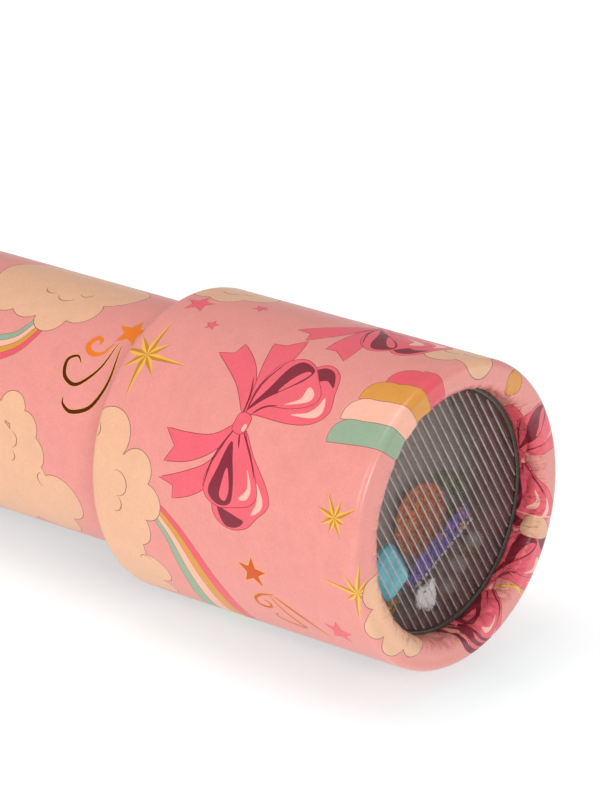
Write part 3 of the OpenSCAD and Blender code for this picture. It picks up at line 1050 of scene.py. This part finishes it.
def clear_plastic(name, colour, alpha, rough=0.25, scale=300.0):
    """See-through plastic with faint haze and fine scratches."""
    m = Nodes(name)
    haze = m.noise(scale, 4.0, 0.6)
    scratch = m.noise(1500, 2.0, 0.5, (1.0, 0.05, 0.3))
    m.tint(haze, (0.3, shade(colour, 0.85)), (0.7, shade(colour, 1.1)))
    m.rough(scratch, rough, rough + 0.12, 0.4, 0.7)
    m.join(m.span(haze, alpha - 0.04, alpha + 0.04, 0.3, 0.7), "Alpha")
    m.bump(scratch, 0.05, 0.0001)
    return m.material


def mirror(name, colour):
    """Bright metal with a faint smear and hair-fine scratches."""
    m = Nodes(name)
    smear = m.noise(45, 4.0, 0.6, (0.3, 1.0, 1.0))
    scratch = m.noise(1800, 2.0, 0.5, (0.02, 1.0, 1.0))
    m.tint(smear, (0.3, shade(colour, 0.93)), (0.7, colour))
    m.rough(smear, 0.04, 0.12, 0.35, 0.75)
    m.set(Metallic=1.0)
    m.bump(scratch, 0.03, 0.00005)
    return m.material


def tape(name, colour):
    """Paper tape with fibres across it."""
    return mottled(name, colour, (1400, 3.0, 0.6, (0.2, 1.0, 1.0)), ((0.3, 0.82), (0.7, 1.08)),
                   (0.4, 0.6), (0.2, 0.0001))


def foam(name, colour):
    """Open foam whose pores are painted darker: painted shade in the pits that the bump makes."""
    m = Nodes(name)
    pores = m.cells(1300)
    # painted shade: the pores are darkened where the bump makes pits
    m.tint(pores, (0.0, shade(colour, 0.6)), (0.35, colour), (0.8, shade(colour, 1.1)))
    m.rough(m.noise(200), 0.85, 0.98)
    m.bump(pores, 0.6, 0.0003)
    return m.material


def glassy(name, colour, alpha=0.9, rough=0.1, scale=240.0):
    """Coloured glass or acrylic: deeper and paler patches, and a clear glossy face."""
    return mottled(name, colour, (scale, 3.0, 0.5), ((0.3, 0.55), (0.55, 1), (0.8, 1.4)),
                   (rough, rough + 0.15), (0.1, 0.0002), (alpha, min(1.0, alpha + 0.1)),
                   Coat_Weight=0.6, Coat_Roughness=0.05)


def glitter(name, colour, scale, metal):
    """Closely set flakes that each face their own way. Each flake is painted lighter or darker,
    as if lit at its own angle, and the lightest get a painted pale orange glint.
    """
    m = Nodes(name)
    flake = m.apart("ShaderNodeSeparateColor", m.cells(scale, "Color"), "Color")
    # painted light: flakes painted lighter and darker, the lightest with a painted glint colour
    m.tint(flake["Red"], (0.0, shade(colour, 0.5)), (0.45, colour), (0.86, shade(colour, 1.5)),
           (1.0, linear(255, 178, 80)))
    m.rough(flake["Green"], 0.15, 0.5)
    m.join(m.span(flake["Blue"], metal - 0.3, metal), "Metallic")
    m.bump(flake["Green"], 0.9, 0.0004)
    return m.material


def crumpled(name, colour):
    """White plastic film with sharp creases."""
    return mottled(name, colour, (700, 5.0, 0.7), ((0.25, 0.94), (0.5, 1)), (0.5, 0.75),
                   (0.5, 0.0003), Coat_Weight=0.5, Coat_Roughness=0.4)


def table_top(name, colour, glow):
    """A white table top that glows a little, so that the shadows stay pale and soft. Close under
    the tube the glow is turned down and tinted towards cyan: a painted shadow that stays neutral."""
    m = Nodes(name)
    fine = m.noise(140)
    m.tint(fine, (0.3, shade(colour, 0.992)), (0.7, colour))
    m.rough(fine, 0.75, 0.85)
    place = m.apart("ShaderNodeSeparateXYZ", m.place, "Vector")
    # where the painted shadow lies: beside the tube and along its length
    beside = m.span(m.math("ABSOLUTE", place["Y"]), 1.0, 0.0, 0.008, 0.038)
    along = m.span(m.math("ABSOLUTE", place["X"]), 1.0, 0.0, 0.070, 0.105)
    close = m.math("MULTIPLY", beside, along)
    # painted shadow: less glow close under the tube, tinted cyan against the pink that the paper
    # casts there
    m.join(m.span(close, glow, glow * 0.74), "Emission Strength")
    m.join(m.blend(close, (0.97, 1.0, 1.0), (0.74, 0.98, 1.0)), "Emission Color")
    m.bump(fine, 0.02, 0.0002)
    return m.material


def give(piece, material):
    """The piece's only material."""
    piece.data.materials.clear()
    piece.data.materials.append(material)


def dress(nodes, material):
    """A finish for CAD nodes that keep their own shape."""
    for node in nodes:
        piece = frame["nodes"][node]
        for slot in piece.material_slots:
            slot.material = material


def set_piece(piece, material, body, node=None):
    """Gives a finished piece its material and the body it rides, and hides the node that it
    stands for.
    """
    give(piece, material)
    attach(piece, body)
    if node:
        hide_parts(node)


class Step(bpy.types.Operator):
    """What every step of the build has in common"""
    bl_options = {"REGISTER", "UNDO"}


# ---- the printed papers ----

# places and distances along the head paper's section: the paper swells inside the lip, then
# creases, and the creases fade out before its hidden edge
SWELL_START, SWELL_RUN = 172.6, 4.6
CREASE_START, CREASE_RUN = 174.4, 2.6
CREASE_END, CREASE_FADE = 180.7, 1.2
# the lip swells most at this turn from the print's top
SWELL_TURN = radians(102)
# where the paper starts to get glossier over the lip and is glossiest, and where it starts to
# wrinkle and is fully wrinkled, with painted shade in its creases
LIP_GLOSS = (169.6, 171.0)
LIP_WRINKLES = (174.6, 177.0)


def crease(turn, often, start, sharp):
    """1 on a crease and 0 away from it. often is the number of creases round the mouth."""
    value = noise.noise(Vector((cos(turn), sin(turn), 0)) * often + Vector(start))
    return 1 - min(1.0, abs(value) * sharp)


def lip_pleats(a, turn):
    """Height of the creases and swellings in the paper inside the lip."""
    if a < SWELL_START:
        return 0.0
    sizes = SETTINGS["paper"]
    ring = Vector((cos(turn), sin(turn), 0))
    near = max(0.0, cos(turn - SWELL_TURN))
    t = min(1.0, (a - SWELL_START) / SWELL_RUN)
    ease = t * t * (3 - 2 * t)
    uneven = 0.12 * noise.noise(ring * 1.7 + Vector((3, 1, 7)))
    bulge = ease * (sizes.swell * (0.5 + 1.7 * near ** 1.5) + uneven)
    inner = min(1.0, max(0.0, (a - CREASE_START) / CREASE_RUN))
    end = min(1.0, max(0.0, (CREASE_END - a) / CREASE_FADE))
    slant = (a - SWELL_START) * 0.03
    broad = crease(turn + slant, 8.0, (0, 0, a * 0.15), 4.2)
    fine = crease(turn - slant, 27.0, (5, 5, a * 0.25), 3.6)
    fold = -(broad ** 2) * sizes.pleat - (fine ** 2) * sizes.pleat * 0.4
    lumps = 0.4 * sizes.pleat * noise.noise(ring * 7.0 + Vector((0, 0, a * 0.3)))
    return bulge + inner * (0.3 + 0.7 * end) * (fold + lumps + 0.16)


def tube_softness(a, turn):
    """The tube's paper lies close, with a barely uneven surface."""
    return 0.012 * noise.noise(Vector((cos(turn), sin(turn), a * 0.05)) * 3.0) - 0.012


def creased_part():
    """Where the rolled lip and the wrinkles set in and are strongest, in the paper's own map."""
    girth = tau * HEAD_RADIUS
    return [(a - HEAD_PATH.low) / girth for a in LIP_GLOSS + LIP_WRINKLES]


class KALEIDOSCOPE_OT_head_paper(Step):
    """Lays the printed paper round the turning head, over its lip and into its mouth"""
    bl_idname = "kaleidoscope.head_paper"
    bl_label = "Head paper"

    def execute(self, context):
        low, high = HEAD_PATH.low, HEAD_PATH.high
        rows = [low + 2.5, low + 5.0, low + 6.8]
        rows += [REAR_STRAIGHT - ROUND_RUN + ROUND_RUN * k / 4 for k in range(5)]
        straight = FRONT_STRAIGHT - REAR_STRAIGHT
        rows += [REAR_STRAIGHT + straight * k / 30 for k in range(1, 30)]
        rows += [FRONT_STRAIGHT + ROUND_RUN * k / 5 for k in range(6)]
        at = FRONT_STRAIGHT + ROUND_RUN + 0.35
        # close rows, so that the creases inside the mouth are smooth
        while at < high - 0.2:
            rows.append(at)
            at += 0.38
        piece = lay_paper("head_printed_paper", HEAD_PATH, HEAD_RADIUS, draw_head(), rows, 1.0,
                          lip_pleats)
        set_piece(piece, printed_paper("head_paper", creased_part()), "head",
                  "head_wrap")
        return {"FINISHED"}


class KALEIDOSCOPE_OT_tube_paper(Step):
    """Lays the printed paper round the main tube and over its eye end"""
    bl_idname = "kaleidoscope.tube_paper"
    bl_label = "Tube paper"

    def execute(self, context):
        low = TUBE_PATH.low
        straight = TUBE_PAPER_END - EYE_ROUND
        rows = [low + 2.5]
        rows += [low + EYE_TURN_IN + EYE_RUN * k / 4 for k in range(5)]
        rows += [EYE_ROUND + straight * k / 60 for k in range(1, 60)]
        piece = lay_paper("tube_printed_paper", TUBE_PATH, TUBE_RADIUS, draw_tube(), rows, 2.0,
                          tube_softness)
        set_piece(piece, printed_paper("tube_paper"), "tube_body", "tube_wrap")
        return {"FINISHED"}


# ---- the ribbed window ----

# half of the window's own edge ring, across and along the axis
EDGE_HALF_WIDE, EDGE_HALF_HIGH = 0.65, 0.13
ROUND_SIDES = 160

class KALEIDOSCOPE_OT_ribbed_window(Step):
    """Makes the clear disc with straight ribs and a flat edge behind the lip"""
    bl_idname = "kaleidoscope.ribbed_window"
    bl_label = "Ribbed window"

    @staticmethod
    def lay_ribs(name, shift, wide, high, station, alpha, ribbed):
        """Straight round-topped ribs across the plate, one pitch apart."""
        sizes = SETTINGS["window"]
        ribs = bmesh.new()
        count = int(ribbed / sizes.pitch) + 1
        lean = Matrix.Rotation(-sizes.lean, 4, "Z")
        for k in range(-count, count + 1):
            off = (k + shift) * sizes.pitch
            if abs(off) > ribbed - 0.4:
                continue
            long = 2 * sqrt(ribbed ** 2 - off ** 2) - 0.3
            part = block(ribs, (long, wide, high), (0, off, station))
            bmesh.ops.rotate(ribs, cent=(0, 0, 0), matrix=lean, verts=part)
        bevel(ribs, [e for e in ribs.edges if e.calc_length() > 1.0], wide * 0.4, 3)
        smooth(ribs)
        # the ribs' pale colour is a painted highlight on the clear plastic
        set_piece(finish_mesh(ribs, name),
                  clear_plastic(name + "_plastic", sizes.ridge, alpha, 0.12, 500.0),
                  "head")

    def execute(self, context):
        sizes = SETTINGS["window"]
        ribbed = MOUTH_RADIUS - sizes.flat_edge
        mesh = round_plate(WINDOW_RADIUS, ROUND_SIDES, WINDOW_BACK, WINDOW_FRONT - WINDOW_BACK,
                           0.15)
        top = max(mesh.faces, key=lambda f: f.calc_center_median().z * 10 + f.calc_area())
        bmesh.ops.inset_region(mesh, faces=[top], thickness=WINDOW_RADIUS - ribbed - 0.35)
        face_out(mesh)
        set_piece(finish_mesh(mesh, "window_plate"),
                  clear_plastic("clear_window", sizes.clear, 0.1, 0.16),
                  "head", "chamber_front_window")

        edge = turned_ring(EDGE_HALF_WIDE, EDGE_HALF_HIGH, ribbed + 0.95, WINDOW_FRONT + 0.03, 12,
                           ROUND_SIDES)
        set_piece(finish_mesh(edge, "window_edge"),
                  clear_plastic("window_edge_plastic", sizes.edge, 0.8, 0.2, 500.0),
                  "head")
        self.lay_ribs("window_ribs", 0.3, sizes.rib, 0.34, WINDOW_FRONT + 0.02,
                      0.40, ribbed)
        self.lay_ribs("window_fine_ribs", 0.62, sizes.rib * 0.36, 0.14, WINDOW_FRONT + 0.01,
                      0.14, ribbed)
        return {"FINISHED"}


# ---- the loose pieces ----

BRAID_LONG, BRAID_WIDE = 20.5, 4.6
# the braid's place: up, to the side, along the axis, and its turn in degrees
BRAID_PLACE = (-12.7, 9.5, MIDDLE_LAYER + 1.43, 25.5)
SEQUINS_A_ROW = 17
SEED_BEADS = 19
DISC_RADIUS, DISC_THICK = 7.0, 0.9
GLITTER_FLAKES = 520
STAR_RADIUS, STAR_INNER = 3.0, 1.3
BEAD_HIGH = 2.4
# the two lobes of the white flake: to the side, half width, half height, turn of its peak
FLAKE_LOBES = ((-1.9, 1.1, 1.75, 0.25), (0.55, 2.0, 2.55, -0.3))

def lay_flat(mesh, up, side, station, turn=0.0):
    """The piece turned in its own plane, in degrees, and put in its place in the chamber."""
    move(mesh, mesh.verts, (side, up, station), spin_by(turn))


def cut_gem(long, wide, thick, table=0.26):
    """A flat-backed gem with a bevelled girdle and a raised table."""
    mesh = bmesh.new()
    block(mesh, (long, wide, thick), (0, 0, thick / 2))
    uprights = [e for e in mesh.edges if abs(e.verts[0].co.z - e.verts[1].co.z) > thick / 2]
    bevel(mesh, uprights, wide * 0.22)
    bmesh.ops.inset_region(mesh, faces=[top_of(mesh)], thickness=wide * table * 0.5, depth=0)
    for v in mesh.verts:
        outwards = max(abs(v.co.x) / (long / 2), abs(v.co.y) / (wide / 2))
        if v.co.z > thick * 0.9 and outwards > 0.86:
            v.co.z = thick * 0.55
    face_out(mesh)
    return mesh


class KALEIDOSCOPE_OT_front_pieces(Step):
    """Makes the crumpled white flake and the turquoise gem, and gives the clear beads their finish
    """
    bl_idname = "kaleidoscope.front_pieces"
    bl_label = "Front loose pieces"

    def execute(self, context):
        colours = SETTINGS["pieces"]
        mesh = bmesh.new()
        for side, wide, high, peak in FLAKE_LOBES:
            made = bmesh.ops.create_icosphere(mesh, subdivisions=4, radius=1.0)["verts"]
            for v in made:
                p = v.co.copy()
                turn = atan2(p.y, p.x)
                rim = 1 + 0.4 * noise.noise(Vector((cos(turn), sin(turn), side)) * 2.0)
                rim += 0.3 * noise.noise(Vector((cos(turn), sin(turn), side + 2)) * 6.0)
                fold = noise.noise(p * 2.3 + Vector((4, 0, side))) + 0.5 * noise.noise(p * 5.1)
                rim += 0.45 * max(0.0, cos(turn - pi / 2 - peak)) ** 12
                v.co = Vector((side + p.x * wide * rim, p.y * high * rim,
                               p.z * 0.55 + fold * 0.55))
        smooth(mesh)
        lay_flat(mesh, -17.8, -0.5, FRONT_LAYER + 3.12, -8)
        set_piece(finish_mesh(mesh, "crumpled_flake"), crumpled("white_scrap", colours.flake),
                  "loose_front", "white_flake")

        mesh = cut_gem(10, 7.5, 1.6)
        lay_flat(mesh, -10, -9.4, FRONT_LAYER + 1.2, -60)
        set_piece(finish_mesh(mesh, "turquoise_gem"),
                  glassy("turquoise", colours.blue, 0.93, 0.12),
                  "loose_front", "blue_gem")

        dress(["clear_beads"], glassy("clear_glass", colours.bead, 0.08, 0.05, 90.0))
        return {"FINISHED"}


class KALEIDOSCOPE_OT_middle_pieces(Step):
    """Makes the purple sequin braid, the rose gem and the foil star"""
    bl_idname = "kaleidoscope.middle_pieces"
    bl_label = "Middle loose pieces"

    def execute(self, context):
        colours = SETTINGS["pieces"]
        long, wide = BRAID_LONG, BRAID_WIDE
        mesh = bmesh.new()
        for row in (-1, 0, 1):
            for k in range(SEQUINS_A_ROW):
                step = (k + (0.5 if row else 0)) / (SEQUINS_A_ROW - 0.5)
                x = -long / 2 + 0.85 + (long - 1.7) * step
                if x > long / 2 - 0.7:
                    continue
                made = bmesh.ops.create_cone(mesh, cap_ends=True, segments=12, radius1=0.88,
                                             radius2=0.46, depth=0.34)["verts"]
                tip = spin_by(24, "Y") @ spin_by(12 * row + 7 * ((k * 5) % 3 - 1), "X")
                move(mesh, made, (x, row * 1.38, 0.45), tip)
        block(mesh, (long - 0.4, wide - 1.4, 0.22), (0, 0, 0.14))
        lay_flat(mesh, *BRAID_PLACE)
        set_piece(finish_mesh(mesh, "sequin_braid"),
                  glitter("purple_sequins", colours.sequin, 900.0, 0.35),
                  "loose_middle", "sequin_strip")

        mesh = bmesh.new()
        for k in range(SEED_BEADS):
            made = bmesh.ops.create_icosphere(mesh, subdivisions=2, radius=0.42)["verts"]
            x = -long / 2 + 0.8 + (long - 1.6) * k / (SEED_BEADS - 1)
            move(mesh, made, (x, -2.25 + 0.2 * (k % 2), 0.5))
        smooth(mesh)
        lay_flat(mesh, *BRAID_PLACE)
        set_piece(finish_mesh(mesh, "braid_seed_beads"),
                  glassy("seed_glass", colours.bead, 0.85, 0.05), "loose_middle")

        mesh = cut_gem(7, 6, 1.4)
        lay_flat(mesh, -14.5, -11, MIDDLE_LAYER + 1.0, -110)
        set_piece(finish_mesh(mesh, "rose_gem_cut"), glassy("rose_glass", colours.rose, 0.92),
                  "loose_middle", "rose_gem")

        mesh = bmesh.new()
        bmesh.ops.create_circle(mesh, cap_ends=True, segments=10, radius=STAR_RADIUS)
        for k, v in enumerate(sorted(mesh.verts, key=lambda v: atan2(v.co.y, v.co.x))):
            if k % 2:
                v.co *= STAR_INNER / STAR_RADIUS
        thicken(mesh, mesh.faces[:], 0.25)
        bmesh.ops.poke(mesh, faces=[top_of(mesh)], offset=0.35)
        face_out(mesh)
        lay_flat(mesh, -20, -3.4, MIDDLE_LAYER + 1.0, 15)
        set_piece(finish_mesh(mesh, "foil_star"),
                  glitter("gold_foil", colours.star, 1100.0, 0.9),
                  "loose_middle", "gold_star_piece")
        return {"FINISHED"}


def bead(radius, hole):
    """A ring bead with its flat side to the rear. hole is the hole's radius."""
    half = BEAD_HIGH / 2
    return turned_ring((radius - hole) / 2, half, (radius + hole) / 2, half, 16, 32)


class KALEIDOSCOPE_OT_rear_pieces(Step):
    """Makes the orange glitter disc, the green beads and the amber bead"""
    bl_idname = "kaleidoscope.rear_pieces"
    bl_label = "Rear loose pieces"

    def execute(self, context):
        colours = SETTINGS["pieces"]
        mesh = round_plate(DISC_RADIUS, 72, 0, DISC_THICK, 0.2)
        face_out(mesh)
        draw = random.Random(7)
        for _ in range(GLITTER_FLAKES):
            r, t = (DISC_RADIUS - 0.3) * sqrt(draw.random()), tau * draw.random()
            size = 0.16 + 0.16 * draw.random()
            made = bmesh.ops.create_circle(mesh, cap_ends=True, segments=6, radius=size)["verts"]
            made += thicken(mesh, [made[0].link_faces[0]], 0.05)
            lean = spin_by(draw.uniform(-30, 30), "X") @ spin_by(draw.uniform(-30, 30), "Y")
            move(mesh, made, (r * cos(t), r * sin(t), 1.0), lean)
        lay_flat(mesh, -8.6, 10.2, REAR_LAYER + 1.0)
        set_piece(finish_mesh(mesh, "glitter_disc"),
                  glitter("orange_glitter", colours.glitter, 1500.0, 0.4),
                  "loose_rear", "orange_glitter_disc")

        whole = bmesh.new()
        for up, side in ((-3.0, 17.4), (-5.8, 20.8), (-10.5, 19.3)):
            one = bead(1.7, 0.5)
            lay_flat(one, up, side, REAR_LAYER + 0.6)
            part = bpy.data.meshes.new("bead_part")
            one.to_mesh(part)
            one.free()
            whole.from_mesh(part)
            bpy.data.meshes.remove(part)
        set_piece(finish_mesh(whole, "green_glass_beads"),
                  glassy("green_glass", colours.green, 0.6, 0.12),
                  "loose_rear", "green_beads")

        one = bead(3.2, 0.9)
        lay_flat(one, -11, -14, REAR_LAYER + 0.6)
        set_piece(finish_mesh(one, "amber_glass_bead"),
                  glassy("amber_glass", colours.amber, 0.85, 0.08),
                  "loose_rear", "amber_bead")
        return {"FINISHED"}


# ---- finishes for the frame's own solids ----

class KALEIDOSCOPE_OT_body_finishes(Step):
    """Gives the card tubes, rings, mirrors, foam, tape and inner windows their finishes"""
    bl_idname = "kaleidoscope.body_finishes"
    bl_label = "Body finishes"

    def execute(self, context):
        colours = SETTINGS["body"]
        for nodes, material in (
                (("main_tube", "head_tube", "head_collar", "stop_ring", "lip_ring", "eye_disc",
                  "eye_retainer_ring", "tube_window_ring", "window_seat_ring"),
                 card("grey_card", colours.card)),
                (("chamber_ring",), smoky_plastic("smoky_chamber", colours.plastic, colours.haze)),
                (("chamber_rear_window",),
                 clear_plastic("frosted_window", colours.clear, 0.55, 0.45)),
                (("tube_window", "eye_window"),
                 clear_plastic("inner_window", colours.clear, 0.2, 0.1)),
                (("mirror_bottom", "mirror_left", "mirror_right"),
                 mirror("silver_mirror", colours.mirror)),
                (("mirror_band_rear", "mirror_band_front"), tape("paper_tape", colours.tape)),
                (("packing_pad_bottom", "packing_pad_left", "packing_pad_right"),
                 foam("packing_foam", colours.foam)),
                (("eye_end_paper",), card("eye_paper", colours.end_paper, 0.03))):
            dress(nodes, material)
        return {"FINISHED"}


# ---- table, lights and camera ----

# the point the softboxes face: along the axis from the eye end, above it and to its side
AIM = (0.144, 0.0205, -0.0123)
# each softbox's place, its size and its share of the key light's power
SOFTBOXES = {"top_softbox": ((-0.20, -0.15, 1.25), 0.7, 0.74),
             "side_softbox": ((-0.12, -1.00, 0.62), 0.5, 0.48),
             "front_softbox": ((0.86, -0.62, 0.50), 0.34, 0.62)}
# the point in the middle of the view
VIEW_CENTRE = (0.058518, -0.012309, 0.051156)
FLOOR_HALF = 6.0
SENSOR_WIDTH = 36.0
NEAR_CLIP = 0.01


class KALEIDOSCOPE_OT_stage(Step):
    """Sets the pale table, the soft studio light and the camera"""
    bl_idname = "kaleidoscope.stage"
    bl_label = "Table, lights and camera"

    def execute(self, context):
        settings = SETTINGS["stage"]
        mesh = bmesh.new()
        bmesh.ops.create_grid(mesh, x_segments=1, y_segments=1, size=FLOOR_HALF)
        floor = finish_mesh(mesh, "table_top", placed=True)
        give(floor, table_top("pale_table", settings.floor, settings.glow))

        world = bpy.data.worlds.new("studio")
        world.use_nodes = True
        sky = world.node_tree.nodes["Background"].inputs
        sky["Color"].default_value = (1, 1, 1, 1)
        sky["Strength"].default_value = settings.fill
        context.scene.world = world

        along, above, aside = AIM
        aim = EYE_END + AXIS * along + RISE * above + Vector((0, aside, 0))
        for name, (place, size, share) in SOFTBOXES.items():
            lamp = bpy.data.lights.new(name, "AREA")
            lamp.energy = settings.key * share
            lamp.size = size
            light = bpy.data.objects.new(name, lamp)
            light.location = place
            light.rotation_euler = (aim - Vector(place)).to_track_quat("-Z", "Y").to_euler()
            context.scene.collection.objects.link(light)

        a, e = settings.azimuth, settings.elevation
        away = Vector((sin(a) * cos(e), -cos(a) * cos(e), sin(e)))
        lens = bpy.data.cameras.new("view")
        lens.lens = settings.lens
        lens.sensor_width = SENSOR_WIDTH
        lens.clip_start = NEAR_CLIP
        camera = bpy.data.objects.new("view", lens)
        camera.location = Vector(VIEW_CENTRE) + away * settings.distance
        camera.rotation_euler = (-away).to_track_quat("-Z", "Y").to_euler()
        context.scene.collection.objects.link(camera)
        context.scene.camera = camera
        context.scene.view_settings.view_transform = "Standard"
        return {"FINISHED"}


STEPS = (KALEIDOSCOPE_OT_stage, KALEIDOSCOPE_OT_body_finishes, KALEIDOSCOPE_OT_head_paper,
         KALEIDOSCOPE_OT_tube_paper, KALEIDOSCOPE_OT_ribbed_window,
         KALEIDOSCOPE_OT_front_pieces, KALEIDOSCOPE_OT_middle_pieces,
         KALEIDOSCOPE_OT_rear_pieces)
GROUPS = {"kaleidoscope_print": PrintColours, "kaleidoscope_paper": PaperSizes,
          "kaleidoscope_window": WindowSizes, "kaleidoscope_pieces": PieceColours,
          "kaleidoscope_body": BodyColours, "kaleidoscope_stage": StageSettings}


class KALEIDOSCOPE_PT_build(bpy.types.Panel):
    """The steps as buttons, and every setting"""
    bl_idname = "KALEIDOSCOPE_PT_build"
    bl_label = "Kaleidoscope"
    bl_space_type = "VIEW_3D"
    bl_region_type = "UI"
    bl_category = "Kaleidoscope"

    def draw(self, context):
        for step in STEPS:
            self.layout.operator(step.bl_idname)
        for group, kind in GROUPS.items():
            box = self.layout.box()
            for name in kind.__annotations__:
                box.prop(getattr(context.scene, group), name)


def register():
    for kind in list(GROUPS.values()) + list(STEPS) + [KALEIDOSCOPE_PT_build]:
        bpy.utils.register_class(kind)
    for name, kind in GROUPS.items():
        setattr(bpy.types.Scene, name, PointerProperty(type=kind))


def unregister():
    for name in GROUPS:
        delattr(bpy.types.Scene, name)
    for kind in reversed(list(GROUPS.values()) + list(STEPS) + [KALEIDOSCOPE_PT_build]):
        bpy.utils.unregister_class(kind)


def main():
    register()
    gather_settings()
    for step in STEPS:
        group, name = step.bl_idname.split(".")
        getattr(getattr(bpy.ops, group), name)()


if __name__ == "__main__":
    main()
